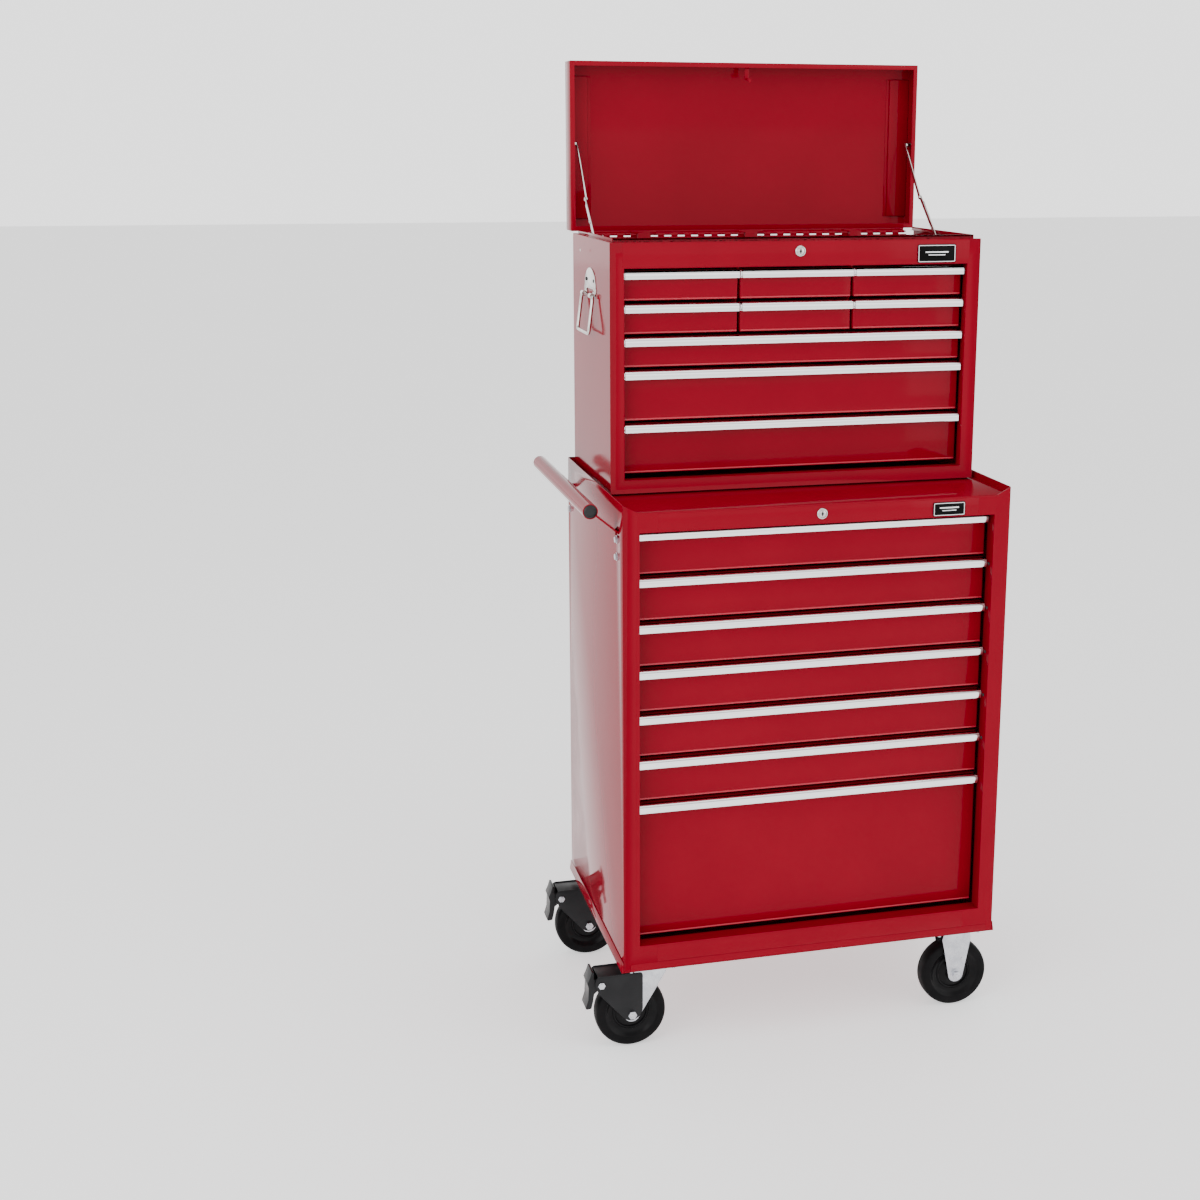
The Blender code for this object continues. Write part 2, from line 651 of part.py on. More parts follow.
def chest_inner_frame(frame):
    """The till's floor, the drawer dividers under it and the three drawer-lock posts."""
    half = CHEST_HALF - SHEET - FIT
    front = CHEST_FRONT + CHEST_RECESS + 2 * SHEET
    back = CHEST_BACK - SHEET - FIT
    floor = box((-half, front, TILL_FLOOR), (half, back, TILL_FLOOR + SHEET))
    drop = CHEST_HEAD_GAP + CHEST_SMALL_ROWS * (CHEST_SHALLOW_FRONT + DRAWER_GAP) + SHEET
    join = TILL_FLOOR + SHEET / 2
    parts = []
    columns = chest_columns()
    for (_, left), (right, _) in zip(columns, columns[1:]):
        middle = (left + right) / 2
        low = (middle - DIVIDER / 2, front, TILL_FLOOR - drop)
        parts.append(box(low, (middle + DIVIDER / 2, back, join)))
    post_half, post_deep = POST_SIZE[0] / 2, POST_SIZE[1]
    bar_half, bar_deep, bar_high = ROCKER[0] / 2, ROCKER[1], ROCKER[2]
    post_back = back - POST_BACK
    bar_back = post_back - (post_deep - bar_deep) / 2
    for x in (-POST_PITCH, 0.0, POST_PITCH):
        low = (x - post_half, post_back - post_deep, join)
        parts.append(box(low, (x + post_half, post_back, CHEST_TOP)))
        low = (x - bar_half, bar_back - bar_deep, CHEST_TOP - SHEET)
        parts.append(box(low, (x + bar_half, bar_back, CHEST_TOP - SHEET + bar_high)))
    place("chest_inner_frame", combine(floor, *add(*parts)), "red_paint", frame)


def hinge_sections():
    """Return the ends of each knuckle section of the lid's hinge, left to right."""
    half = CHEST_HALF - 2 * SHOULDER
    length = 2 * half / HINGE_SECTIONS
    return [(-half + i * length + FIT, -half + (i + 1) * length - FIT) for i in range(HINGE_SECTIONS)]


def hinge_knuckle(left, right, leaf):
    """Return one knuckle with the strip that joins it to its leaf, whose section is given in Y and Z."""
    bar = rod(HINGE_KNUCKLE, (left, HINGE.y, HINGE.z), (right, HINGE.y, HINGE.z), sides=10)
    return combine(bar, *add(prism(leaf, "X", left + FIT, right - FIT)))


def hinge_leaf(frame):
    """The hinge's fixed leaf on the chest's back, with every other knuckle."""
    face = CHEST_BACK + FIT
    knee = HINGE.z - 1.6 * HINGE_KNUCKLE
    bottom = HINGE.z - HINGE_LEAF
    strip = [
        (face, bottom), (face + SHEET, bottom), (face + SHEET, knee),
        (HINGE.y, HINGE.z - 0.9 * HINGE_KNUCKLE), (HINGE.y - 0.6 * HINGE_KNUCKLE, HINGE.z), (face, knee),
    ]  # fmt: skip
    half = CHEST_HALF - 2 * SHOULDER
    body = box((-half, face, bottom), (half, face + SHEET, knee - SHEET))
    knuckles = [hinge_knuckle(*ends, strip) for ends in hinge_sections()[::2]]
    place("hinge_leaf", combine(body, *add(*knuckles)), "red_paint", frame)


def lid(frame):
    """The lid, open: a shallow pan with a flanged rim, two stiffeners, the striker and the hinge's moving leaf."""
    body = box((-LID_HALF, LID_RIM, LID_BOTTOM), (LID_HALF, LID_BACK, LID_TOP))
    inner = LID_HALF - SHEET
    hollow = box((-inner, LID_RIM + SHEET, LID_BOTTOM + SHEET), (inner, LID_BACK - SHEET, LID_TOP - SHEET))
    mouth_half = LID_HALF - LID_FLANGE
    mouth = box(
        (-mouth_half, LID_RIM - SHEET, LID_BOTTOM + LID_REAR_FLANGE),
        (mouth_half, LID_RIM + 2 * SHEET, LID_TOP - LID_FLANGE),
    )
    floor = LID_BACK - SHEET
    middle = (LID_BOTTOM + LID_TOP) / 2
    stiffener = box(
        (-inner - SHEET / 2, floor - STIFFENER_RAISE, middle - STIFFENER_LENGTH / 2),
        (-inner + STIFFENER_WIDTH, floor + SHEET / 2, middle + STIFFENER_LENGTH / 2),
    )
    stud = stay_stud(-inner - SHEET / 2, -CHEST_HALF + STAY_IN + STAY_THICK, *STAY_TOP)
    width, thick, length = STRIKER
    inside = LID_RIM + STRIKER_RISE
    strap = box((-width / 2, inside, LID_TOP - length), (width / 2, inside + thick, LID_TOP - SHEET / 2))
    hook = box(
        (-width / 2, LID_RIM - STRIKER_HOOK, LID_TOP - length),
        (width / 2, inside + thick / 2, LID_TOP - length + thick),
    )
    leaf_top = LID_BOTTOM + LID_REAR_FLANGE - SHEET
    strip = [
        (LID_RIM + SHEET / 2, LID_BOTTOM + SHEET / 2), (LID_RIM + SHEET / 2, leaf_top),
        (LID_RIM - SHEET, leaf_top), (HINGE.y, HINGE.z + 0.9 * HINGE_KNUCKLE),
        (HINGE.y + 0.6 * HINGE_KNUCKLE, HINGE.z),
    ]  # fmt: skip
    knuckles = [hinge_knuckle(*ends, strip) for ends in hinge_sections()[1::2]]
    parts = [*knuckles, stiffener, mirrored(stiffener), stud, mirrored(stud), combine(strap, *add(hook))]
    place("lid", combine(body, *cut(hollow, mouth), *add(*parts)), "red_paint", frame, pivot=HINGE)


def stay_elbow():
    """Return where a stay's two links meet with the lid open, a little behind their straight line."""
    foot, head = Vector(STAY_FOOT), Vector(STAY_TOP)
    span = head - foot
    along = (STAY_LOWER**2 - STAY_UPPER**2 + span.length_squared) / (2 * span.length)
    aside = math.sqrt(max(STAY_LOWER**2 - along**2, 0.0))
    unit = span.normalized()
    return foot + unit * along + Vector((unit.y, -unit.x)) * aside


def link(start, end, low, high):
    """Return a flat link with round ends, from one pivot to the other, in a plane across X."""
    start, end = Vector(start), Vector(end)
    heading = math.degrees(math.atan2(end.y - start.y, end.x - start.x))
    outline = arc(start, STAY_WIDTH / 2, heading + 90, heading + 270, 5)
    outline += arc(end, STAY_WIDTH / 2, heading - 90, heading + 90, 5)
    return prism(outline, "X", low, high)


def stays(frame):
    """The two folding stays that stop the lid, each a lower and an upper link side by side."""
    elbow = stay_elbow()
    outer = -CHEST_HALF + STAY_IN
    inner = outer + STAY_THICK + FIT
    lower = link(STAY_FOOT, elbow, outer, outer + STAY_THICK)
    upper = link(STAY_TOP, elbow, inner, inner + STAY_THICK)
    pairs = {"left": (1, lower, upper), "right": (-1, mirrored(lower), mirrored(upper))}
    for side, (sign, first, second) in pairs.items():
        place(f"stay_{side}_lower", first, "zinc_plate", frame, pivot=(sign * outer, *STAY_FOOT))
        place(f"stay_{side}_upper", second, "zinc_plate", frame, pivot=(sign * inner, *STAY_TOP))


def bail(name, frame, side):
    """A carry handle's bail, hanging a little away from the chest's side."""
    x = side * (CHEST_HALF + BAIL_OUT)
    z = CHEST_TOP - BAIL_BELOW
    half = BAIL_WIDTH / 2
    low = Vector((x + side * BAIL_LEAN, 0.0, z - BAIL_DROP))
    top = Vector((x, 0.0, z))
    pin = half - 2 * BAIL_ROD + FIT
    legs = []
    for end in (-1, 1):
        y = CHEST_MIDDLE + end * half
        legs.append(rod(BAIL_ROD, (top.x, y, top.z + BAIL_ROD), (low.x, y, low.z - BAIL_ROD), sides=10))
        inner = (top.x, CHEST_MIDDLE + end * pin, top.z)
        legs.append(rod(BAIL_ROD * 0.8, (top.x, y, top.z), inner, sides=10))
    front, back = CHEST_MIDDLE - half, CHEST_MIDDLE + half
    bar = rod(BAIL_ROD * 1.02, (low.x, front, low.z), (low.x, back, low.z), sides=12)
    place(name, combine(bar, *add(*legs)), "nickel_plate", frame, pivot=(x, CHEST_MIDDLE, z), smooth=True)


def strap_places():
    """Return the front edge of each strap of the push handle."""
    first = CABINET_FRONT + PUSH_STRAP_FRONT - PUSH_STRAP / 2
    return [first, first + PUSH_STRAP_PITCH]


def push_handle(frame):
    """The push handle: a tube on two straps that pass through the cabinet's side and bolt on inside."""
    tube = rod(PUSH_TUBE, (PUSH_X, PUSH_Y, PUSH_Z), (PUSH_X, PUSH_Y + PUSH_LENGTH, PUSH_Z), sides=20)
    inside = -CABINET_HALF + SHEET + FIT
    thick = PUSH_STRAP_THICK
    knee = FLANGE_TOP - PUSH_SLOT_DROP
    outline = [
        (inside, knee - PUSH_LEG), (inside + thick, knee - PUSH_LEG), (inside + thick, knee + thick / 2),
        (PUSH_X + thick, PUSH_Z + thick / 2), (PUSH_X - thick, PUSH_Z - thick), (inside, knee - thick),
    ]  # fmt: skip
    straps = [prism(outline, "Y", y, y + PUSH_STRAP) for y in strap_places()]
    place("push_handle", combine(tube, *add(*straps)), "red_paint", frame, smooth=True)


def wheel(name, frame, x, y):
    """A solid wheel with a raised tread and a hub."""
    half, hub, web = WHEEL_WIDTH / 2, HUB_HALF, 0.65 * WHEEL_WIDTH / 2
    bore, edge = AXLE_RADIUS + PIN_FIT, WHEEL_RADIUS
    side = [
        (bore, hub), (0.22 * edge, hub), (0.26 * edge, web), (0.74 * edge, web), (0.80 * edge, half),
        (0.92 * edge, half), (edge, 0.6 * half),
    ]  # fmt: skip
    profile = [(radius, -at) for radius, at in side] + [(radius, at) for radius, at in reversed(side)]
    centre = (x, y, WHEEL_RADIUS)
    place(name, turned(profile, WHEEL_SIDES, centre), "black_rubber", frame, pivot=centre, smooth=True)


def axle(x, y):
    """Return an axle with a nut at each end, along Y through a wheel."""
    z = WHEEL_RADIUS
    ends = [
        rod(NUT_RADIUS, (x, y + side * (FORK_OUTER - SHEET), z), (x, y + side * NUT_FACE, z), sides=6)
        for side in (-1, 1)
    ]
    return [rod(AXLE_RADIUS, (x, y - NUT_FACE + SHEET, z), (x, y + NUT_FACE - SHEET, z), sides=12), *ends]


def fork_legs(outline, y):
    """Return the two legs of a fork, each the same outline in X and Z."""
    faces = ((-FORK_OUTER, -FORK_INNER), (FORK_INNER, FORK_OUTER))
    return [prism(outline, "Y", y + low, y + high) for low, high in faces]


def rigid_fork(name, frame, x, y):
    """A rigid caster's fork: two tapered legs under a crown, with the axle."""
    z, top = WHEEL_RADIUS, FORK_TOP
    outline = [
        (x - 0.022, top), (x - 0.0275, top - 0.019), *arc((x, z), FORK_END, 190, 350, 6),
        (x + 0.0275, top - 0.019), (x + 0.022, top),
    ]  # fmt: skip
    crown = box((x - 0.022, y - FORK_OUTER, top - FORK_LEG), (x + 0.022, y + FORK_OUTER, top))
    body = combine(crown, *add(*fork_legs(outline, y), *axle(x, y)))
    place(name, body, "zinc_plate", frame)


def swivel_fork(name, frame, y):
    """A swivel caster's fork: its turning race, trailing legs, the axle and the brake's housing."""
    pivot_x, x, z = -CASTER_X, WHEEL_LEFT, WHEEL_RADIUS
    top = FORK_TOP - RACE_HEIGHT
    outline = [
        (pivot_x - 0.030, top), *arc((x, z), FORK_END, 170, 320, 6),
        (pivot_x + 0.026, top - 0.004), (pivot_x + 0.026, top),
    ]  # fmt: skip
    crown = box((pivot_x - 0.030, y - FORK_OUTER, top - FORK_LEG), (pivot_x + 0.026, y + FORK_OUTER, top))
    race = rod(RACE_RADIUS, (pivot_x, y, top - FORK_LEG / 2), (pivot_x, y, FORK_TOP), sides=20)
    body = combine(crown, *add(race, *fork_legs(outline, y), *axle(x, y), *brake_housing(x, y)))
    place(name, body, "zinc_plate", frame, pivot=(pivot_x, y, z))


def brake_housing(x, y):
    """Return the brake's two cheeks, the cover between them and the pin that the pedal rocks on."""
    z = WHEEL_RADIUS
    pin_x, pin_z = BRAKE_PIN_X, BRAKE_PIN_Z
    top = pin_z + 0.017
    cheek = [
        (x + 0.019, z + 0.006), (x + 0.019, top), (pin_x - 0.008, top), (pin_x - 0.012, pin_z + 0.001),
        (pin_x - 0.004, pin_z - 0.017), (x - 0.012, z - 0.008), (x, z - 0.012), (x + 0.012, z - 0.006),
    ]  # fmt: skip
    outer = FORK_OUTER + BRAKE_CHEEK
    cheeks = [
        prism(cheek, "Y", y + low, y + high)
        for low, high in ((-outer, -FORK_OUTER + SHEET / 2), (FORK_OUTER - SHEET / 2, outer))
    ]
    edge = outer - SHEET / 2
    cover = box((pin_x - 0.006, y - edge, top - 0.0035), (x + 0.012, y + edge, top - 0.0015))
    start, end = y - outer - BRAKE_NUT, y + outer + BRAKE_NUT
    pin = rod(BRAKE_PIN - PIN_FIT, (pin_x, start, pin_z), (pin_x, end, pin_z), sides=12)
    return [*cheeks, cover, pin]


def brake_pedal(name, frame, y):
    """The rocker pedal at the back of a braked caster, bored for its pin, with a toe lip at its foot."""
    x, z = BRAKE_PIN_X, BRAKE_PIN_Z
    outline = [
        (x - 0.012, z + 0.023), (x - 0.0125, z + 0.011), *arc((x, z), 0.008, 120, -100, 8),
        (x - 0.012, z - 0.017), (x - 0.014, z - 0.031), (x - 0.017, z - 0.0445),
        (x - 0.025, z - 0.045), (x - PEDAL_LIP, z - 0.043),
        (x - 0.0225, z - 0.027), (x - 0.0215, z - 0.005), (x - 0.024, z + 0.003), (x - 0.0195, z + 0.013),
        (x - 0.016, z + 0.0245),
    ]  # fmt: skip
    body = prism(outline, "Y", y - PEDAL_HALF, y + PEDAL_HALF)
    bore = rod(BRAKE_PIN, (x, y - 2 * PEDAL_HALF, z), (x, y + 2 * PEDAL_HALF, z), sides=12)
    place(name, combine(body, *cut(bore)), "black_steel", frame, pivot=(x, y, z))


def casters(frame):
    """Two braked swivel casters on the left and two rigid ones on the right."""
    for end, y in (("front", -CASTER_Y), ("rear", CASTER_Y)):
        swivel_fork(f"caster_fork_left_{end}", frame, y)
        brake_pedal(f"brake_pedal_{end}", frame, y)
        wheel(f"wheel_left_{end}", frame, WHEEL_LEFT, y)
        rigid_fork(f"caster_fork_right_{end}", frame, CASTER_X, y)
        wheel(f"wheel_right_{end}", frame, CASTER_X, y)


def main():
    """Build the chest under one empty that centres its outline on the origin."""
    clear_scene()
    frame = bpy.data.objects.new("tool_chest", None)
    bpy.context.scene.collection.objects.link(frame)
    frame.location = (-(OUTLINE_LEFT + OUTLINE_RIGHT) / 2, -(OUTLINE_FRONT + OUTLINE_BACK) / 2, 0.0)
    cabinet_shell(frame)
    cabinet_face_frame(frame)
    cabinet_top_tray(frame)
    cabinet_base(frame)
    lock("cabinet_lock", frame, 0.0, CABINET_FRONT, HEADER_TOP - CABINET_LOCK_DROP)
    cabinet_drawers(frame)
    chest_shell(frame)
    chest_face_frame(frame)
    chest_inner_frame(frame)
    lock("chest_lock", frame, 0.0, CHEST_FRONT, CHEST_TOP - CHEST_LOCK_DROP)
    chest_drawers(frame)
    hinge_leaf(frame)
    lid(frame)
    stays(frame)
    bail("carry_bail_left", frame, -1)
    bail("carry_bail_right", frame, 1)
    push_handle(frame)
    casters(frame)


main()
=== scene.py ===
"""Rolling tool chest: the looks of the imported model.

Every piece is built in metres in the frame's own place and rides on one of its bodies. Sizes that the frame
states are read from its boxes, and the rest are those of the sheet, the fittings and the running gear.
"""

import json
import logging
import math
from collections.abc import Callable, Iterable, Sequence
from dataclasses import dataclass, replace
from enum import Enum

import bmesh
import bpy
from bmesh.types import BMesh, BMEdge, BMVert
from bpy.types import Material, Node, NodeSocket, NodeTree, Object
from mathutils import Matrix, Vector


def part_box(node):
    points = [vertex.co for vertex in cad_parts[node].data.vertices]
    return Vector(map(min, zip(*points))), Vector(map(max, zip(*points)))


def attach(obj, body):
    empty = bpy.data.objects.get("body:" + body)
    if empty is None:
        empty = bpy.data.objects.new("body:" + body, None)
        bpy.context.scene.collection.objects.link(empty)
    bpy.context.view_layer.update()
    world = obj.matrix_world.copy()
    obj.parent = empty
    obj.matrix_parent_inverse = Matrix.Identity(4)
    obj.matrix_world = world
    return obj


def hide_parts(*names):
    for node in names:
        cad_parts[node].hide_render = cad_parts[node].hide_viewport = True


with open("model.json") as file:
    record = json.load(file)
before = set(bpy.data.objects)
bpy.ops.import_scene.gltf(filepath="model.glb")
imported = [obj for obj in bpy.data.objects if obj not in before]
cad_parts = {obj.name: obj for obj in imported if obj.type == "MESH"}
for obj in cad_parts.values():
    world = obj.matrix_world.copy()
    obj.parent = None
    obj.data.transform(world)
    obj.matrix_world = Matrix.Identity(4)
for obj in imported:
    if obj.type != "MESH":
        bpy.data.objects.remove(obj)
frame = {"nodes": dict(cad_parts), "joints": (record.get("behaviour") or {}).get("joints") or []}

log = logging.getLogger("tool_chest")

CARCASS = "carcass"
SHEET = 0.001
LID_DEEP = 0.044
LID_TALL = 0.299
FRONT_PROUD = 0.00025
RAIL_GAP = 0.0018
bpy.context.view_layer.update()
Point = Sequence[float]
Outline = list[tuple[float, float]]
Test = Callable[[Vector], bool]
Feeds = dict[str | int, object]


class Side(Enum):
    """Which side of the object a fitting is on, as the sign of its X."""

    LEFT = -1
    RIGHT = 1

    def pick(self, low: Vector, high: Vector) -> float:
        """Return the X of the corner on this side."""
        return low.x if self is Side.LEFT else high.x


class Axis(Enum):
    """The axis that a profile is pushed along, as its place in X, Y, Z."""

    X = 0
    Y = 1
    Z = 2


class Swing(Enum):
    """How a caster is held: it turns under its plate or it doesn't."""

    SWIVEL = "swivel"
    RIGID = "rigid"


# Shader groups


def feed(tree: NodeTree, node: Node, values: Feeds) -> None:
    """Link each socket to the node's named input, or set the input's own value."""
    for label, value in values.items():
        if isinstance(value, NodeSocket):
            tree.links.new(value, node.inputs[label])
        else:
            node.inputs[label].default_value = value


def add_node(tree: NodeTree, kind: str, inputs: Feeds | None = None, **values: object) -> Node:
    """Add a shader node, set its own properties and feed its inputs.

    Args:
        tree: The tree that gets the node.
        kind: The node's type name.
        inputs: Input name or place to the socket or the value that feeds it.
        **values: Properties to set on the node.

    Returns:
        The new node.
    """
    node = tree.nodes.new(kind)
    for name, value in values.items():
        setattr(node, name, value)
    feed(tree, node, inputs or {})
    return node


def group_tree(name: str, inputs: dict[str, tuple[str, object]], outputs: dict[str, str]) -> NodeTree:
    """Make an empty shader group with named sockets.

    Args:
        name: The group's name.
        inputs: Socket name to its type and its default.
        outputs: Socket name to its type.

    Returns:
        The group's tree, which holds one input and one output node.
    """
    tree = bpy.data.node_groups.new(name, "ShaderNodeTree")
    for label, (kind, default) in inputs.items():
        tree.interface.new_socket(label, in_out="INPUT", socket_type=kind).default_value = default
    for label, kind in outputs.items():
        tree.interface.new_socket(label, in_out="OUTPUT", socket_type=kind)
    add_node(tree, "NodeGroupInput", name="in")
    add_node(tree, "NodeGroupOutput", name="out")
    return tree


def mottle_group() -> NodeTree:
    """Return the group that varies a colour and a roughness in soft clouds, as handled enamel does."""
    tree = bpy.data.node_groups.get("mottle")
    if tree:
        return tree
    number, colour = "NodeSocketFloat", "NodeSocketColor"
    inputs = {
        "Light": (colour, (0.5, 0.5, 0.5, 1.0)),
        "Dark": (colour, (0.4, 0.4, 0.4, 1.0)),
        "Smooth": (number, 0.2),
        "Rough": (number, 0.3),
        "Scale": (number, 8.0),
    }
    tree = group_tree("mottle", inputs, {"Colour": colour, "Roughness": number})
    source = tree.nodes["in"].outputs
    place = add_node(tree, "ShaderNodeTexCoord").outputs["Object"]
    clouds = {"Vector": place, "Scale": source["Scale"], "Detail": 4.0, "Roughness": 0.6}
    cloud = add_node(tree, "ShaderNodeTexNoise", clouds).outputs["Fac"]
    ends = {"Value": cloud, "From Min": 0.35, "From Max": 0.65}
    spread = add_node(tree, "ShaderNodeMapRange", ends).outputs["Result"]
    tones = {0: spread, 6: source["Light"], 7: source["Dark"]}
    blend = add_node(tree, "ShaderNodeMix", tones, data_type="RGBA").outputs[2]
    shines = {"Value": spread, "To Min": source["Smooth"], "To Max": source["Rough"]}
    shine = add_node(tree, "ShaderNodeMapRange", shines).outputs["Result"]
    feed(tree, tree.nodes["out"], {"Colour": blend, "Roughness": shine})
    return tree


def grain_group() -> NodeTree:
    """Return the group that gives a height stretched along one axis: drawn or brushed metal, or even peel."""
    tree = bpy.data.node_groups.get("grain")
    if tree:
        return tree
    number, vector = "NodeSocketFloat", "NodeSocketVector"
    inputs = {"Stretch": (vector, (1.0, 1.0, 1.0)), "Scale": (number, 500.0), "Depth": (number, 0.1)}
    tree = group_tree("grain", inputs, {"Height": number})
    source = tree.nodes["in"].outputs
    place = add_node(tree, "ShaderNodeTexCoord").outputs["Object"]
    drawn = add_node(tree, "ShaderNodeMapping", {"Vector": place, "Scale": source["Stretch"]})
    fine = {"Vector": drawn.outputs["Vector"], "Scale": source["Scale"], "Detail": 3.0}
    noise = add_node(tree, "ShaderNodeTexNoise", fine)
    factors = {0: noise.outputs["Fac"], 1: source["Depth"]}
    height = add_node(tree, "ShaderNodeMath", factors, operation="MULTIPLY").outputs[0]
    feed(tree, tree.nodes["out"], {"Height": height})
    return tree


# Finishes


@dataclass(frozen=True)
class Finish:
    """What a surface is made of and how it was finished, with the record's material slot that it belongs to.

    The colour and the roughness each run between two values in clouds, and a fine grain lifts the surface.
    """

    name: str
    slot: str
    light: tuple[float, float, float]
    dark: tuple[float, float, float]
    smooth: float
    rough: float
    metal: float = 0.0
    specular: float = 0.5
    cloud: float = 8.0
    stretch: tuple[float, float, float] = (1.0, 1.0, 1.0)
    grain: float = 600.0
    depth: float = 0.2
    lift: float = 0.0002
    glow: float = 0.0

    def material(self) -> Material:
        """Return the finish's material, made on first use."""
        material = bpy.data.materials.get(self.name)
        if material:
            return material
        material = bpy.data.materials.new(self.name)
        material.use_nodes = True
        tree = material.node_tree
        tones = {
            "Light": (*self.light, 1.0),
            "Dark": (*self.dark, 1.0),
            "Smooth": self.smooth,
            "Rough": self.rough,
            "Scale": self.cloud,
        }
        mottle = add_node(tree, "ShaderNodeGroup", node_tree=mottle_group())
        feed(tree, mottle, tones)
        grain = add_node(tree, "ShaderNodeGroup", node_tree=grain_group())
        feed(tree, grain, {"Stretch": self.stretch, "Scale": self.grain, "Depth": self.depth})
        peel = {"Height": grain.outputs["Height"], "Distance": self.lift}
        surface = {
            "Base Color": mottle.outputs["Colour"],
            "Roughness": mottle.outputs["Roughness"],
            "Normal": add_node(tree, "ShaderNodeBump", peel).outputs["Normal"],
            "Metallic": self.metal,
            "Specular IOR Level": self.specular,
        }
        if self.glow:
            surface |= {"Emission Color": (1.0, 1.0, 1.0, 1.0), "Emission Strength": self.glow}
        feed(tree, tree.nodes["Principled BSDF"], surface)
        return material


RED_ENAMEL = Finish(
    "red_enamel", "red_paint", (0.220, 0.0003, 0.0105), (0.205, 0.0003, 0.0095), 0.07, 0.12,
    specular=0.08, grain=260.0, depth=0.30, lift=0.00006,
)  # fmt: skip
# A lighter, glossier copy of the red paint for the drawers' hem beads: a painted highlight along each front's
# bottom edge.
RED_HIGHLIGHT = Finish(
    "red_edge", "red_paint", (0.420, 0.0100, 0.0300), (0.400, 0.0090, 0.0280), 0.16, 0.22, lift=0.00003
)
DRAWN_ALUMINIUM = Finish(
    "drawn_aluminium", "aluminium", (0.95, 0.95, 0.96), (0.90, 0.91, 0.92), 0.07, 0.13,
    metal=1.0, stretch=(0.02, 1.0, 1.0), grain=1800.0, depth=0.3, lift=0.00003,
)  # fmt: skip
BRIGHT_ZINC = Finish(
    "bright_zinc", "zinc_plate", (0.60, 0.61, 0.64), (0.47, 0.48, 0.52), 0.20, 0.34,
    metal=1.0, cloud=60.0, grain=1200.0, depth=0.3,
)  # fmt: skip
NICKEL = Finish(
    "bright_nickel", "nickel_plate", (0.62, 0.60, 0.57), (0.50, 0.48, 0.46), 0.06, 0.14,
    metal=1.0, cloud=40.0, lift=0.00003,
)  # fmt: skip
STAY_NICKEL = replace(NICKEL, slot="zinc_plate")
BLACK_ENAMEL = Finish(
    "black_enamel", "black_steel", (0.012, 0.012, 0.013), (0.008, 0.008, 0.009), 0.28, 0.40,
    specular=0.18, cloud=30.0,
)  # fmt: skip
WHEEL_TREAD = Finish(
    "wheel_tread", "black_rubber", (0.006, 0.0055, 0.006), (0.004, 0.0038, 0.0042), 0.45, 0.60,
    specular=0.06, cloud=45.0, grain=1500.0, depth=0.6,
)  # fmt: skip
WHEEL_CORE = Finish(
    "wheel_core", "black_rubber", (0.007, 0.0065, 0.007), (0.005, 0.0048, 0.0053), 0.16, 0.26,
    specular=0.08, cloud=45.0,
)  # fmt: skip
BLACK_PLASTIC = Finish(
    "black_plastic", "black_steel", (0.014, 0.014, 0.015), (0.010, 0.010, 0.011), 0.30, 0.40,
    specular=0.25, cloud=60.0, grain=1200.0, depth=0.3,
)  # fmt: skip
BADGE_BLACK = Finish(
    "badge_black", "black_steel", (0.004, 0.004, 0.004), (0.003, 0.003, 0.003), 0.12, 0.18,
    specular=0.04, lift=0.00003,
)  # fmt: skip
BADGE_SILVER = Finish(
    "badge_silver", "nickel_plate", (0.90, 0.90, 0.91), (0.82, 0.82, 0.84), 0.18, 0.26,
    metal=1.0, lift=0.00005,
)  # fmt: skip
# Near-black for the keyway's slit and eye: painted shade that stands in for the slot's depth.
KEYWAY_SHADE = Finish("keyway_dark", "black_steel", (0.012, 0.012, 0.012), (0.008, 0.008, 0.008), 0.50, 0.60)
STUDIO_PAPER = Finish(
    "studio_paper", "", (0.90, 0.90, 0.90), (0.89, 0.89, 0.89), 0.8, 0.9, specular=0.1, cloud=0.5, glow=0.67
)


# Mesh building

# The most of a straight side that one corner's curve takes, so that two curves on it never meet
CURVE_SHARE = 1 / 2.05


def pushed(outline: Sequence[Point], axis: Axis, low: float, high: float) -> BMesh:
    """Push a closed outline along an axis into a solid.

    Args:
        outline: Corners in the other two axes, in X, Y, Z order.
        axis: The axis to push along.
        low: Where the solid starts on that axis.
        high: Where it ends.

    Returns:
        A bmesh that holds the solid.
    """
    bm = bmesh.new()
    spots = []
    for corner in outline:
        place = list(corner)
        place.insert(axis.value, low)
        spots.append(bm.verts.new(place))
    face = bm.faces.new(spots)
    grown = bmesh.ops.extrude_face_region(bm, geom=[face])["geom"]
    step = Vector((0.0, 0.0, 0.0))
    step[axis.value] = high - low
    bmesh.ops.translate(bm, vec=step, verts=[part for part in grown if isinstance(part, BMVert)])
    bmesh.ops.recalc_face_normals(bm, faces=bm.faces[:])
    return bm


def eased(
    before: Vector, corner: Vector, after: Vector, bend: float, share: float = CURVE_SHARE
) -> list[Vector]:
    """List points on the smooth curve that takes a corner's place.

    Args:
        before: The point before the corner.
        corner: The corner.
        after: The point after it.
        bend: The length of each side that the curve takes.
        share: The most of each side that it may take.

    Returns:
        The curve's points.
    """
    start, end = (
        corner + (other - corner).normalized() * min(bend, (other - corner).length * share)
        for other in (before, after)
    )
    parts = (step / 4 for step in range(5))
    return [start * (1 - part) ** 2 + corner * 2 * part * (1 - part) + end * part**2 for part in parts]


def curved(path: Sequence[Vector], bend: float, share: float = CURVE_SHARE) -> list[Vector]:
    """Round the inner corners of an open path with smooth curves."""
    line = [path[0]]
    for before, corner, after in zip(path, path[1:], path[2:]):
        line += eased(before, corner, after, bend, share)
    return [*line, path[-1]]


def rounded(outline: Sequence[Point], bend: float) -> list[Vector]:
    """Round the corners of a closed flat outline with smooth curves."""
    spots = [Vector(spot) for spot in outline]
    trios = zip([spots[-1], *spots], spots, [*spots[1:], spots[0]])
    return [point for trio in trios for point in eased(*trio, bend)]


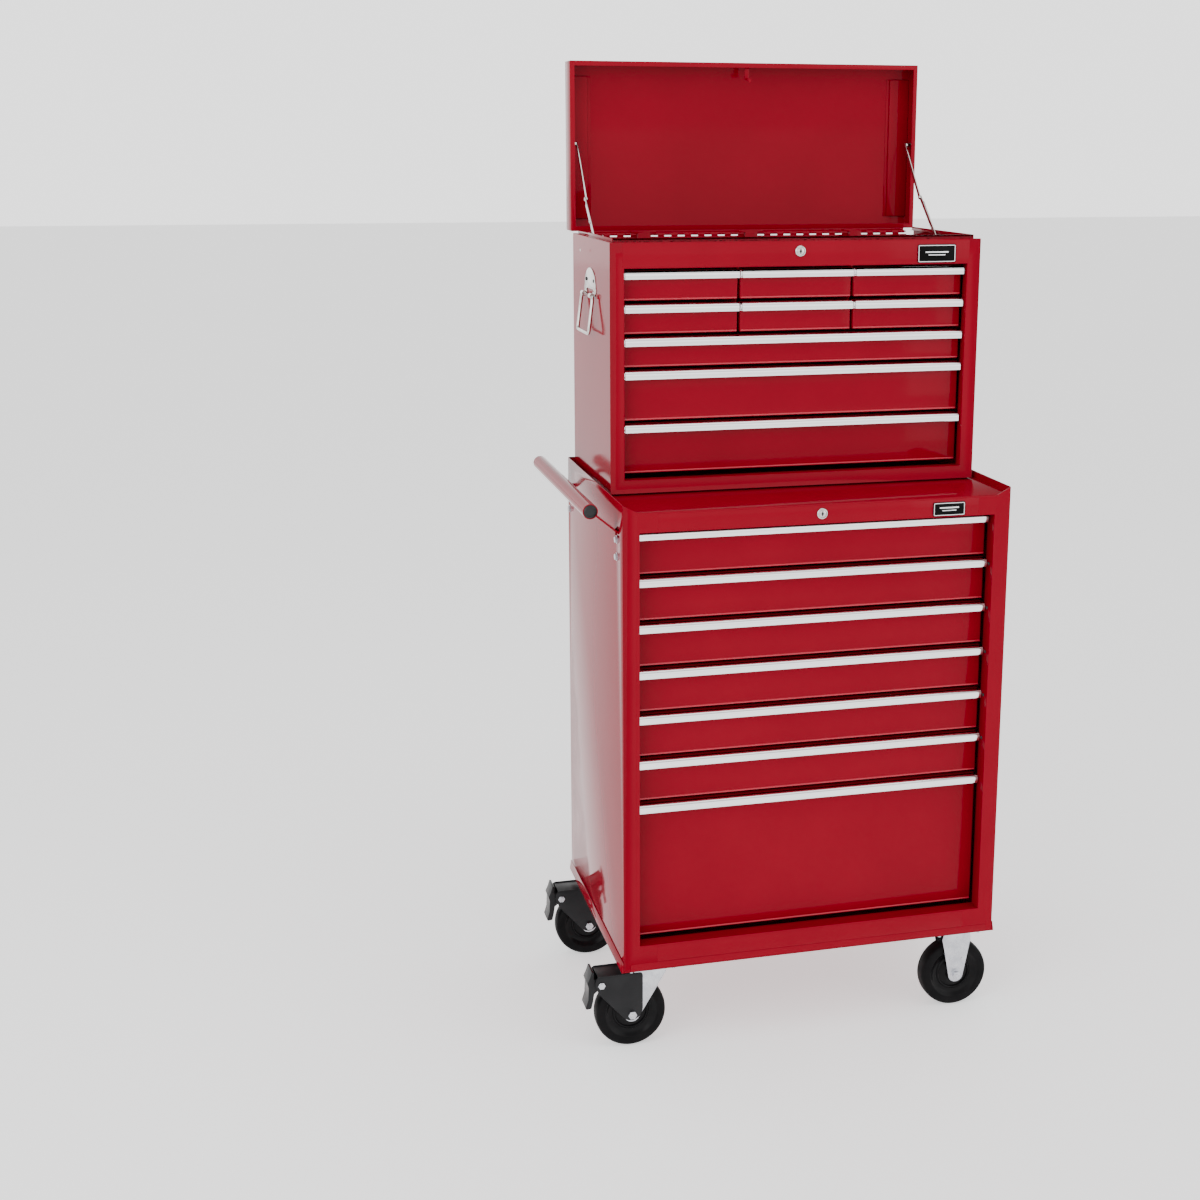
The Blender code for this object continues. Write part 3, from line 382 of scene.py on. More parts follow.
def folded(path: Sequence[Point], axis: Axis, low: float, high: float, sheet: float, bend: float) -> BMesh:
    """Fold a sheet: give an open path its thickness, round its folds and push it along an axis.

    Args:
        path: Points of the sheet's one surface in the other two axes, in X, Y, Z order.
        axis: The axis that every fold runs along.
        low: Where the sheet starts on that axis.
        high: Where it ends.
        sheet: The thickness, which grows to the left of the path, or to its right where it is negative.
        bend: The length of each corner that its curve takes on the path.

    Returns:
        A bmesh that holds the folded sheet.
    """
    near = [Vector(spot) for spot in path]
    ways = [(after - before).normalized() for before, after in zip(near, near[1:])]
    far = []
    for spot, before, after in zip(near, [ways[0], *ways], [*ways, ways[-1]]):
        mitre = Vector((-before.y - after.y, before.x + after.x)).normalized()
        far.append(spot + mitre * sheet / mitre.dot(Vector((-before.y, before.x))))
    return pushed(curved(near, bend) + curved(far, 0.6 * bend)[::-1], axis, low, high)


def bevel(bm: BMesh, edges: Sequence[BMEdge], radius: float, segments: int = 2) -> None:
    """Round the given edges."""
    bmesh.ops.bevel(
        bm, geom=list(edges), offset=radius, offset_type="OFFSET", segments=segments, profile=0.5,
        affect="EDGES", material=-1, clamp_overlap=True,
    )  # fmt: skip


def sharp_edges(bm: BMesh, test: Test | None = None, degrees: float = 60.0) -> list[BMEdge]:
    """List the edges that turn sharply.

    Args:
        bm: The mesh to look through.
        test: Whether an edge counts, from its middle; every sharp edge counts without it.
        degrees: The least angle between an edge's two faces.

    Returns:
        The edges.
    """
    limit = math.radians(degrees)
    found = []
    for edge in bm.edges:
        if len(edge.link_faces) != 2 or edge.calc_face_angle(0.0) < limit:
            continue
        if test is None or test((edge.verts[0].co + edge.verts[1].co) / 2):
            found.append(edge)
    return found


def edged(bm: BMesh, radius: float, segments: int = 2, degrees: float = 60.0) -> BMesh:
    """Round every sharp edge of a mesh and return it."""
    bevel(bm, sharp_edges(bm, None, degrees), radius, segments)
    return bm


def opened(bm: BMesh, way: Point) -> BMesh:
    """Take away the side of a block that faces the given way and return the rest."""
    side = [face for face in bm.faces if face.normal.dot(Vector(way)) > 0.9]
    bmesh.ops.delete(bm, geom=side, context="FACES")
    return bm


def walled(bm: BMesh) -> BMesh:
    """Give an open shell the sheet's thickness and return it."""
    bmesh.ops.recalc_face_normals(bm, faces=bm.faces[:])
    bmesh.ops.solidify(bm, geom=bm.faces[:], thickness=SHEET)
    bmesh.ops.recalc_face_normals(bm, faces=bm.faces[:])
    return bm


def block(low: Point, high: Point, radius: float = 0.0, segments: int = 2) -> BMesh:
    """Make a block between two corners, with its edges rounded if a radius is given."""
    low, high = Vector(low), Vector(high)
    bm = bmesh.new()
    size = Matrix.Diagonal((*(high - low), 1.0))
    bmesh.ops.create_cube(bm, size=1.0, matrix=Matrix.Translation((low + high) / 2) @ size)
    if radius:
        bevel(bm, bm.edges[:], radius, segments)
    return bm


def turned(profile: Sequence[Point], centre: Point, toward: Point, steps: int = 32) -> BMesh:
    """Turn a profile into a closed round piece.

    Args:
        profile: (radius, height) points; a first or last radius of nought closes the piece on its axis.
        centre: Where height nought is.
        toward: The way that height grows.
        steps: How many steps make the full turn.

    Returns:
        A bmesh that holds the piece.
    """
    bm = bmesh.new()
    verts = [bm.verts.new((radius, 0.0, height)) for radius, height in profile]
    edges = [bm.edges.new(pair) for pair in zip(verts, verts[1:])]
    if profile[0][0] and profile[-1][0]:
        edges.append(bm.edges.new((verts[-1], verts[0])))
    bmesh.ops.spin(
        bm, geom=verts + edges, cent=(0, 0, 0), axis=(0, 0, 1), angle=math.tau, steps=steps, use_merge=True
    )
    bmesh.ops.remove_doubles(bm, verts=bm.verts[:], dist=1e-6)
    turn = Vector(toward).to_track_quat("Z", "Y").to_matrix().to_4x4()
    bmesh.ops.transform(bm, matrix=Matrix.Translation(Vector(centre)) @ turn, verts=bm.verts[:])
    bmesh.ops.recalc_face_normals(bm, faces=bm.faces[:])
    return bm


def disc(
    radius: float, centre: Point, toward: Point, height: float, edge: float = 0.0, steps: int = 24
) -> BMesh:
    """Make a short round bar that stands on its centre, with a rounded outer edge."""
    profile = [(0.0, 0.0), (radius, 0.0)]
    if edge:
        profile += [
            (radius - edge + edge * math.cos(turn), height - edge + edge * math.sin(turn))
            for turn in (0.0, math.pi / 6, math.pi / 3, math.pi / 2)
        ]
    else:
        profile.append((radius, height))
    return turned([*profile, (0.0, height)], centre, toward, steps)


def dome(radius: float, centre: Point, toward: Point, height: float, steps: int = 16) -> BMesh:
    """Make a low domed head that stands on its centre, as a rivet's or a screw's."""
    curve = [
        (radius * math.cos(turn), height * (0.25 + 0.75 * math.sin(turn)))
        for turn in (0.0, math.pi / 8, math.pi / 4, 3 * math.pi / 8)
    ]
    return turned([(0.0, 0.0), (radius, 0.0), *curve, (0.0, height)], centre, toward, steps)


def wire(points: Sequence[Point], radius: float, bend: float, sides: int = 10) -> BMesh:
    """Bend a round wire along a path, with a smooth curve at each inner corner.

    Args:
        points: The corners of the wire's middle line.
        radius: The wire's radius.
        bend: The radius of the corners, on the middle line.
        sides: How many sides the wire has.

    Returns:
        A bmesh that holds the wire, closed at both ends.
    """
    line = curved([Vector(point) for point in points], bend, 1.0)
    bm = bmesh.new()
    rings = []
    for index, point in enumerate(line):
        ahead = line[min(index + 1, len(line) - 1)] - line[max(index - 1, 0)]
        turn = ahead.to_track_quat("Z", "Y").to_matrix().to_4x4()
        ring = bmesh.ops.create_circle(
            bm, cap_ends=False, segments=sides, radius=radius, matrix=Matrix.Translation(point) @ turn
        )
        rings.append([edge for vert in ring["verts"] for edge in vert.link_edges])
    for first, second in zip(rings, rings[1:]):
        bmesh.ops.bridge_loops(bm, edges=list({*first, *second}))
    bmesh.ops.holes_fill(bm, edges=[edge for edge in bm.edges if len(edge.link_faces) == 1])
    bmesh.ops.recalc_face_normals(bm, faces=bm.faces[:])
    return bm


def arc(centre: Point, radius: float, start: float, end: float, steps: int = 8) -> Outline:
    """List points on an arc, with its angles in degrees."""
    turns = [math.radians(start + (end - start) * step / steps) for step in range(steps + 1)]
    return [(centre[0] + radius * math.cos(turn), centre[1] + radius * math.sin(turn)) for turn in turns]


def joined(meshes: Iterable[BMesh]) -> BMesh:
    """Put several meshes into one bmesh."""
    whole = bmesh.new()
    for bm in meshes:
        mesh = bpy.data.meshes.new("piece")
        bm.to_mesh(mesh)
        bm.free()
        whole.from_mesh(mesh)
        bpy.data.meshes.remove(mesh)
    return whole


def softened(node: str, radius: float, bends: Sequence[tuple[Test, float]] = ()) -> BMesh:
    """Copy a frame node with its flat faces joined and its edges rounded.

    Args:
        node: The node's name.
        radius: The radius of every sharp edge that no bend takes.
        bends: Tests that pick out folds, each with its own radius.

    Returns:
        A bmesh that holds the copy.
    """
    bm = bmesh.new()
    bm.from_mesh(frame["nodes"][node].data)
    bmesh.ops.remove_doubles(bm, verts=bm.verts[:], dist=1e-5)
    bmesh.ops.dissolve_limit(bm, angle_limit=math.radians(1), verts=bm.verts[:], edges=bm.edges[:])
    for test, bend in bends:
        bevel(bm, sharp_edges(bm, test), bend, 3)
    return edged(bm, radius)


def settle(
    bm: BMesh, name: str, finish: Finish, body: str = CARCASS, replaces: str = "", angle: float = 40.0
) -> Object:
    """Finish a piece: make its object, dress it and put it on its body.

    Args:
        bm: The piece's mesh, in place. It is freed.
        name: The piece's name.
        finish: Its finish.
        body: The frame body it rides on.
        replaces: The frame node that it stands for, if it stands for one.
        angle: The angle in degrees from which an edge stays sharp.

    Returns:
        The piece's object.
    """
    mesh = bpy.data.meshes.new(name)
    bm.to_mesh(mesh)
    bm.free()
    mesh.materials.clear()
    mesh.materials.append(finish.material())
    mesh.shade_smooth()
    mesh.set_sharp_from_angle(angle=math.radians(angle))
    piece = bpy.data.objects.new(name, mesh)
    bpy.context.scene.collection.objects.link(piece)
    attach(piece, body)
    if replaces:
        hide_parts(replaces)
    log.info("%s rides on %s", name, body)
    return piece


def joint(name: str) -> Vector:
    """Return the place of a hinge's axis, from the frame's joints."""
    return next(Vector(entry["pos_m"]) for entry in frame["joints"] if entry["name"] == name)


def corners(node: str) -> tuple[Vector, Vector]:
    """Return the lowest and the highest corner of a frame node."""
    low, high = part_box(node)
    return Vector(low), Vector(high)


# The cabinet's middle, from which the studio is set out
BASE_LOW, BASE_HIGH = corners("cabinet_base")
MIDDLE = Vector(((BASE_LOW.x + BASE_HIGH.x) / 2, (BASE_LOW.y + BASE_HIGH.y) / 2, 0.0))


@dataclass
class Studio:
    """A pale floor that sweeps away, soft lights and the camera."""

    camera_place: tuple[float, float, float] = (-0.956, -2.920, 1.550)
    turn: float = 14.62
    tilt: float = 12.18
    roll: float = -0.20
    lens: float = 52.53
    shift: tuple[float, float] = (-0.062, -0.070)
    floor_size: float = 60.0
    horizon: float = 2.1
    zenith: float = 0.70

    def build(self) -> None:
        """Make the floor, the lights, the surroundings and the camera."""
        self.floor()
        self.surroundings()
        self.lights()
        self.camera()

    def floor(self) -> None:
        """Lay the plain pale floor."""
        bm = bmesh.new()
        bmesh.ops.create_grid(bm, x_segments=2, y_segments=2, size=self.floor_size / 2)
        mesh = bpy.data.meshes.new("studio_floor")
        bm.to_mesh(mesh)
        bm.free()
        floor = bpy.data.objects.new("studio_floor", mesh)
        bpy.context.scene.collection.objects.link(floor)
        mesh.materials.append(STUDIO_PAPER.material())

    def surroundings(self) -> None:
        """Set the white surroundings that the enamel reflects, darker overhead."""
        world = bpy.data.worlds.new("studio")
        world.use_nodes = True
        tree = world.node_tree
        place = add_node(tree, "ShaderNodeTexCoord").outputs["Generated"]
        height = add_node(tree, "ShaderNodeSeparateXYZ", {"Vector": place}).outputs["Z"]
        ends = {"Value": height, "From Min": 0.10, "From Max": 0.80}
        ends |= {"To Min": self.horizon, "To Max": self.zenith}
        fade = add_node(tree, "ShaderNodeMapRange", ends, interpolation_type="SMOOTHSTEP").outputs["Result"]
        feed(tree, tree.nodes["Background"], {"Color": (1.0, 1.0, 1.0, 1.0), "Strength": fade})
        bpy.context.scene.world = world

    def lights(self) -> None:
        """Hang a large key light to the left, a fill to the right and one light overhead."""
        self.panel("key", (-2.6, -2.2, 2.3), (0.0, 0.0, 0.9), (2.2, 2.6), 42.0)
        self.panel("fill", (2.8, -2.6, 1.6), (0.0, 0.0, 0.8), (1.8, 2.6), 16.0)
        self.panel("overhead", (0.0, -0.6, 3.6), (0.0, 0.0, 0.9), (3.0, 2.4), 34.0)

    def panel(self, name: str, place: Point, aim: Point, size: tuple[float, float], power: float) -> None:
        """Hang one soft light.

        Args:
            name: The light's name.
            place: Its place from the cabinet's middle.
            aim: What it points at, from the cabinet's middle.
            size: Its width and height in metres.
            power: Its power in watts.
        """
        data = bpy.data.lights.new(name, "AREA")
        data.shape = "RECTANGLE"
        data.size, data.size_y = size
        data.energy = power
        light = bpy.data.objects.new(name, data)
        light.location = MIDDLE + Vector(place)
        light.rotation_euler = (Vector(aim) - Vector(place)).to_track_quat("-Z", "Y").to_euler()
        bpy.context.scene.collection.objects.link(light)

    def camera(self) -> None:
        """Stand the camera a little above, in front and to the left."""
        data = bpy.data.cameras.new("camera")
        data.lens = self.lens
        data.sensor_width = 36.0
        data.shift_x, data.shift_y = self.shift
        camera = bpy.data.objects.new("camera", data)
        camera.location = MIDDLE + Vector(self.camera_place)
        turn = Matrix.Rotation(math.radians(-self.turn), 3, "Z")
        tilt = Matrix.Rotation(math.radians(90.0 - self.tilt), 3, "X")
        roll = Matrix.Rotation(math.radians(-self.roll), 3, "Z")
        camera.rotation_euler = (turn @ tilt @ roll).to_euler()
        bpy.context.scene.collection.objects.link(camera)
        bpy.context.scene.camera = camera


@dataclass
class FaceFrame:
    """The front of a case: posts and rails round an opening, all folded from sheet."""

    node: str
    bend: float = 0.0022
    corner: float = 0.0015
    edge: float = 0.0003

    def build(self) -> None:
        """Round the opening's folds and the outer corners of the front."""
        low, high = corners(self.node)
        near = 0.0006

        def opening(spot: Vector) -> bool:
            """Tell whether a fold goes round the opening."""
            inside = low.x + 0.01 < spot.x < high.x - 0.01 and low.z + 0.01 < spot.z < high.z - 0.02
            return abs(spot.y - low.y) < near and inside

        def outer(spot: Vector) -> bool:
            """Tell whether a fold is an outer upright of the front."""
            side = min(abs(spot.x - low.x), abs(spot.x - high.x)) < near
            return abs(spot.y - low.y) < near and side

        bm = softened(self.node, self.edge, [(opening, self.bend), (outer, self.corner)])
        settle(bm, f"{self.node}_skin", RED_ENAMEL, CARCASS, self.node)


@dataclass
class Plate:
    """A carried sheet piece with its edges rounded and, where given, its folds too."""

    node: str
    edge: float = 0.0003

    def build(self) -> None:
        """Copy the piece with rounded edges."""
        settle(softened(self.node, self.edge), f"{self.node}_skin", RED_ENAMEL, CARCASS, self.node)


@dataclass
class Cabinet:
    """The roller cabinet's case with the marks of its making."""

    front: str = "cabinet_face_frame"
    hem_high: float = 0.0125
    hem_proud: float = 0.0006
    hem_inset: float = 0.012
    rail_inset: float = 0.059
    sill_high: float = 0.0418
    header_drop: float = 0.0145
    header_high: float = 0.0302
    bead_inset: float = 0.016
    screw: float = 0.0030
    screw_pitch: float = 0.079
    screw_count: int = 5
    screw_first: float = 0.5178
    screw_back: float = 0.014
    screw_gap: float = 0.0025

    def build(self) -> None:
        """Build the case, its hem, its rails and its slide screws."""
        FaceFrame(self.front).build()
        self.shell()
        Plate("cabinet_top_tray").build()
        Plate("cabinet_base", 0.0004).build()
        self.hem()
        self.rails()
        self.bead()
        self.screws()

    def shell(self) -> None:
        """Round the case's rear corners and its edges."""
        low, high = corners("cabinet_shell")

        def rear(spot: Vector) -> bool:
            """Tell whether a fold is an upright of the back."""
            side = min(abs(spot.x - low.x), abs(spot.x - high.x)) < 0.0005
            return side and abs(spot.y - high.y) < 0.0005

        bm = softened("cabinet_shell", 0.0003, [(rear, 0.0025)])
        settle(bm, "cabinet_shell_skin", RED_ENAMEL, CARCASS, "cabinet_shell")

    def hem(self) -> None:
        """Lay the folded hem along the sill's bottom edge."""
        low, high = corners(self.front)
        start = (low.x + self.hem_inset, low.y - self.hem_proud, low.z)
        end = (high.x - self.hem_inset, low.y + SHEET / 2, low.z + self.hem_high)
        settle(block(start, end, 0.0005), "cabinet_sill_hem", RED_ENAMEL)

    def rails(self) -> None:
        """Lay the sill and the header between the posts, a little proud, so that their lapped joints show."""
        low, high = corners(self.front)
        tray = corners("cabinet_top_tray")[1].z
        header_top = tray + SHEET - self.header_drop
        proud = low.y - FRONT_PROUD
        sill = (low.z + self.hem_high + 0.0005, low.z + self.sill_high)
        spans = (sill, (header_top - self.header_high, header_top - RAIL_GAP))
        for name, (bottom, top) in zip(("sill", "header"), spans):
            start = (low.x + self.rail_inset, proud, bottom)
            end = (high.x - self.rail_inset, low.y + SHEET / 2, top)
            settle(block(start, end, 0.0002), f"cabinet_{name}_rail", RED_ENAMEL)

    def bead(self) -> None:
        """Roll the header's top edge, where the tray begins."""
        low, high = corners(self.front)
        top = corners("cabinet_top_tray")[0].z - 0.0003
        start = (low.x + self.bead_inset, low.y - 0.0002, top - 0.0020)
        end = (high.x - self.bead_inset, low.y + 0.0034, top + 0.0008)
        settle(block(start, end, 0.0011, 4), "cabinet_header_bead", RED_ENAMEL)

    def screws(self) -> None:
        """Set the slides' screws in the inner faces of both posts."""
        low, high = corners("cabinet_drawer_7")
        front = corners(self.front)[0].y
        for side in Side:
            wall = side.pick(low, high) + side.value * self.screw_gap
            heads = [
                dome(self.screw, (wall, front + self.screw_back, self.screw_first + self.screw_pitch * row),
                     (-side.value, 0, 0), 0.0016)
                for row in range(self.screw_count)
            ]  # fmt: skip
            settle(joined(heads), f"slide_screws_{side.name.lower()}", BLACK_ENAMEL)


@dataclass
class Chest:
    """The top chest's case: sides with the lid's shoulder and rim, the back, the bottom and the till."""

    front: str = "chest_face_frame"
    fold: float = 0.0012
    shoulder: float = 0.0075
    rim_high: float = 0.006
    back_drop: float = 0.0092
    header_inset: float = 0.0215
    foot: float = 0.0035
    divider_back: float = 0.030
    rivet: float = 0.0024
    rivet_back: float = 0.1085
    rivet_drop: float = 0.0296
    post_pitch: float = 0.203
    spring: float = 0.0045
    spring_wire: float = 0.0006
    spring_pitch: float = 0.0035
    spring_turns: int = 5
    spring_steps: int = 10
    spring_back: float = 0.028
    spring_drop: float = 0.032

    def build(self) -> None:
        """Build the case and the till."""
        FaceFrame(self.front, bend=0.0018).build()
        self.walls()
        self.rails()
        self.till()
        self.side_rivets()
        self.post_springs()

    def walls(self) -> None:
        """Fold both sides, the back and the bottom, which stand in for the chest's shell."""
        low, high = corners(self.front)
        rear = corners("chest_shell")[1].y
        start = low.y + SHEET + 0.0003
        rim_back = rear - 0.0100
        parts = []
        for side in Side:
            outer = side.pick(low, high)
            inner = outer - side.value * self.shoulder
            path = [(outer, low.z), (outer, high.z - self.rim_high), (inner, high.z - self.rim_high)]
            parts.append(folded(path, Axis.Y, start, rear, SHEET * side.value, self.fold))
            edges = sorted((inner, inner - side.value * SHEET))
            rim_low = (edges[0], start + self.shoulder * 1.8, high.z - self.rim_high - SHEET / 2)
            parts.append(block(rim_low, (edges[1], rim_back, high.z), 0.0003))
        back_top = high.z - self.rim_high - self.back_drop
        parts.append(block((low.x + SHEET, rear - SHEET, low.z), (high.x - SHEET, rear, back_top), 0.0003))
        parts.append(self.bottom(low, high, rear))
        settle(joined(parts), "chest_shell_skin", RED_ENAMEL, CARCASS, "chest_shell")

    def bottom(self, low: Vector, high: Vector, rear: float) -> BMesh:
        """Make the bottom with its two pressed feet."""
        width = (high.x - low.x) * 0.15
        left, right = low.x + SHEET, high.x - SHEET
        foot = low.z - self.foot + 0.0001
        outline = [
            (left, foot), (left + width, foot), (left + width, low.z), (right - width, low.z),
            (right - width, foot), (right, foot), (right, low.z + SHEET), (left, low.z + SHEET),
        ]  # fmt: skip
        return pushed(outline, Axis.Y, low.y + 0.02, rear - SHEET)

    def rails(self) -> None:
        """Lay the header between the lapped ends of the posts."""
        low, high = corners(self.front)
        opening_top = corners("chest_drawer_r1_left")[1].z + 0.0042
        start = (low.x + self.header_inset, low.y - FRONT_PROUD, opening_top + 0.0022)
        end = (high.x - self.header_inset, low.y + SHEET / 2, high.z - self.rim_high - RAIL_GAP)
        settle(block(start, end, 0.0002), "chest_header_rail", RED_ENAMEL)

    def till(self) -> None:
        """Copy the till and its dividers, whose front edges stay back behind the drawer fronts."""
        front = corners("chest_inner_frame")[0].y
        bm = softened("chest_inner_frame", 0.0003)
        floor = corners("chest_drawer_r1_left")[1].z
        for vert in bm.verts:
            if vert.co.z < floor and vert.co.y < front + 0.002:
                vert.co.y += self.divider_back
        settle(bm, "chest_inner_frame_skin", RED_ENAMEL, CARCASS, "chest_inner_frame")

    def side_rivets(self) -> None:
        """Close the rivet that holds each stay's bracket on the chest's outer sides."""
        low, high = corners("chest_shell")
        heads = []
        for side in Side:
            wall = side.pick(low, high) - side.value * 0.0003
            place = (wall, high.y - self.rivet_back, high.z - self.rivet_drop)
            heads.append(dome(self.rivet, place, (side.value, 0, 0), 0.0011))
        settle(joined(heads), "chest_side_rivets", STAY_NICKEL)

    def post_springs(self) -> None:
        """Wind the spring that lifts each drawer-lock post."""
        high = corners("chest_inner_frame")[1]
        coils = []
        for x in (-self.post_pitch, 0.0, self.post_pitch):
            centre = Vector((MIDDLE.x + x, high.y - self.spring_back, high.z - self.spring_drop))
            path = []
            for step in range(self.spring_turns * self.spring_steps + 1):
                turn = step / self.spring_steps
                across, along = math.cos(math.tau * turn), math.sin(math.tau * turn)
                spot = (self.spring * across, self.spring * along, self.spring_pitch * turn)
                path.append(centre + Vector(spot))
            coils.append(wire(path, self.spring_wire, self.spring_wire / 6, 6))
        settle(joined(coils), "lock_post_springs", BRIGHT_ZINC)


@dataclass
class Drawer:
    """A drawer: folded front, open pan, pull and a slide at each side."""

    node: str
    fold: float = 0.0012
    roll: float = 0.0015
    hem_radius: float = 0.0017
    front_deep: float = 0.012
    pan_inset: float = 0.011
    pan_rise: float = 0.006
    pan_drop: float = 0.012
    pan_fold: float = 0.0018
    slide_wide: float = 0.0120
    gauge: float = 0.0009

    def build(self) -> None:
        """Build the drawer's pieces."""
        self.front()
        self.hem()
        self.pan()
        self.pull()
        self.slides()

    def front(self) -> None:
        """Fold the front: flat face, rolled bottom edge and returns on all four sides."""
        low, high = corners(self.node)
        bm = opened(block(low, (high.x, low.y + self.front_deep, high.z)), (0, 1, 0))
        bevel(bm, sharp_edges(bm, lambda spot: spot.y < low.y + 1e-4 and spot.z < low.z + 1e-4), self.roll, 4)
        walled(edged(bm, self.fold, 3))
        settle(bm, f"{self.node}_front", RED_ENAMEL, self.node, self.node)

    def hem(self) -> None:
        """Roll the hem that stands out along the front's bottom edge, in a lighter red that paints its
        highlight.
        """
        low, high = corners(self.node)
        section = arc((low.y + 0.6 * SHEET, low.z + 1.3 * self.hem_radius), self.hem_radius, 90, 270, 10)
        bm = pushed(section, Axis.X, low.x + self.fold, high.x - self.fold)
        # The lighter red on the bead is a painted highlight.
        settle(bm, f"{self.node}_hem", RED_HIGHLIGHT, self.node, "", 60.0)

    def pan(self) -> None:
        """Fold the open pan behind the front."""
        low, high = corners(self.node)
        start = (low.x + self.pan_inset, low.y + SHEET + 0.0002, low.z + self.pan_rise)
        end = (high.x - self.pan_inset, high.y, high.z - self.pan_drop)
        bm = walled(edged(opened(block(start, end), (0, 0, 1)), self.pan_fold, 3))
        settle(bm, f"{self.node}_pan", RED_ENAMEL, self.node)

    def pull(self) -> None:
        """Draw the pull: a flat top that rolls over a nose into a finger hollow."""
        node = f"{self.node}_pull"
        low, high = corners(node)
        deep, tall = high.y - low.y, high.z - low.z
        nose = (low.y + 0.42 * deep, high.z - 0.45 * tall)
        section = [
            (high.y, high.z),
            *self.ellipse(nose, 0.42 * deep, 0.45 * tall, 90, 180),
            (low.y, low.z + 0.14 * tall),
            (low.y + 0.03 * deep, low.z + 0.04 * tall),
            (low.y + 0.10 * deep, low.z),
            (low.y + 0.17 * deep, low.z + 0.06 * tall),
            *self.ellipse(nose, 0.26 * deep, 0.22 * tall, 180, 90)[1:],
            (high.y - 0.10 * deep, high.z - 0.23 * tall),
            (high.y - 0.10 * deep, low.z),
            (high.y, low.z),
        ]
        bm = pushed(section, Axis.X, low.x, high.x)
        ends = sharp_edges(bm, lambda spot: min(spot.x - low.x, high.x - spot.x) < 1e-6)
        bevel(bm, ends, 0.0004, 1)
        settle(bm, f"{node}_bar", DRAWN_ALUMINIUM, self.node, node)

    def ellipse(self, centre: Point, wide: float, tall: float, start: float, end: float) -> Outline:
        """List points on a quarter of an ellipse, with its angles in degrees."""
        spots = arc((0.0, 0.0), 1.0, start, end, 6)
        return [(centre[0] + wide * across, centre[1] + tall * up) for across, up in spots]

    def slides(self) -> None:
        """Run a channel on the case and a rail on the pan at each side."""
        low, high = corners(self.node)
        pan_low, pan_high = low.z + self.pan_rise, high.z - self.pan_drop
        middle = (pan_low + pan_high) / 2
        tall = min(0.035, pan_high - pan_low - 0.002)
        for side in Side:
            out = side.value
            wall = side.pick(low, high) - out * self.pan_inset
            rail = [
                (wall + out * 0.0086, middle - tall * 0.36), (wall + out * 0.0004, middle - tall * 0.36),
                (wall + out * 0.0004, middle + tall * 0.36), (wall + out * 0.0086, middle + tall * 0.36),
            ]  # fmt: skip
            channel = [
                (wall + out * 0.0044, middle - tall / 2), (wall + out * self.slide_wide, middle - tall / 2),
                (wall + out * self.slide_wide, middle + tall / 2), (wall + out * 0.0044, middle + tall / 2),
            ]  # fmt: skip
            name = f"{self.node}_slide_{side.name.lower()}"
            start, end = low.y + 0.016, high.y - 0.004
            moving = folded(rail, Axis.Y, start, end, -out * self.gauge, 0.0014)
            settle(moving, f"{name}_rail", BRIGHT_ZINC, self.node)
            fixed = folded(channel, Axis.Y, start + 0.004, end, out * self.gauge, 0.0014)
            settle(fixed, f"{name}_channel", BRIGHT_ZINC)


@dataclass
class KeyLock:
    """A key lock: chrome collar, plug with its keyway, barrel, nut and cam."""

    node: str
    collar: float = 0.0095
    plug: float = 0.0062
    proud: float = 0.003
    barrel: float = 0.0075
    nut: float = 0.011
    cam: float = 0.0045
    cam_back: float = 0.0135
    keyway: tuple[float, float, float] = (0.0010, 0.0040, 0.0020)

    def build(self) -> None:
        """Turn the lock and lay a dark slit and eye on its plug, painted shade for the keyway."""
        low, high = corners(self.node)
        x, z = low.x + self.collar, (low.z + high.z) / 2
        face = low.y + self.proud
        out, back = (0, -1, 0), (0, 1, 0)
        collar, plug, proud = self.collar, self.plug, self.proud
        profile = [
            (0.0, 0.0), (collar, 0.0), (collar, proud * 0.55), (collar * 0.93, proud * 0.85),
            (collar * 0.82, proud), (plug * 1.12, proud), (plug * 1.06, proud * 0.62), (plug, proud * 0.62),
            (plug, proud * 0.92), (plug * 0.94, proud), (0.0, proud),
        ]  # fmt: skip
        front = turned(profile, (x, face, z), out)
        barrel = disc(self.barrel, (x, face + 0.0005, z), back, self.cam_back)
        nut = disc(self.nut, (x, face + 0.0018, z), back, 0.003, steps=6)
        start = (x - self.cam, face + self.cam_back, z - self.cam)
        cam = block(start, (high.x, face + self.cam_back + 0.002, z + self.cam), 0.0006)
        settle(joined([front, barrel, nut, cam]), f"{self.node}_barrel", NICKEL, self.node, self.node)
        # The keyway is a near-black slit and eye laid on the plug's face: painted shade, not a cut.
        wide, tall, eye = self.keyway
        slit = block((x - wide, low.y - 0.00012, z - tall), (x + wide, low.y + 0.0002, z + tall), 0.0001)
        slot = joined([slit, disc(eye, (x, low.y + 0.0001, z), out, 0.00022, steps=16)])
        settle(slot, f"{self.node}_keyway", KEYWAY_SHADE, self.node)


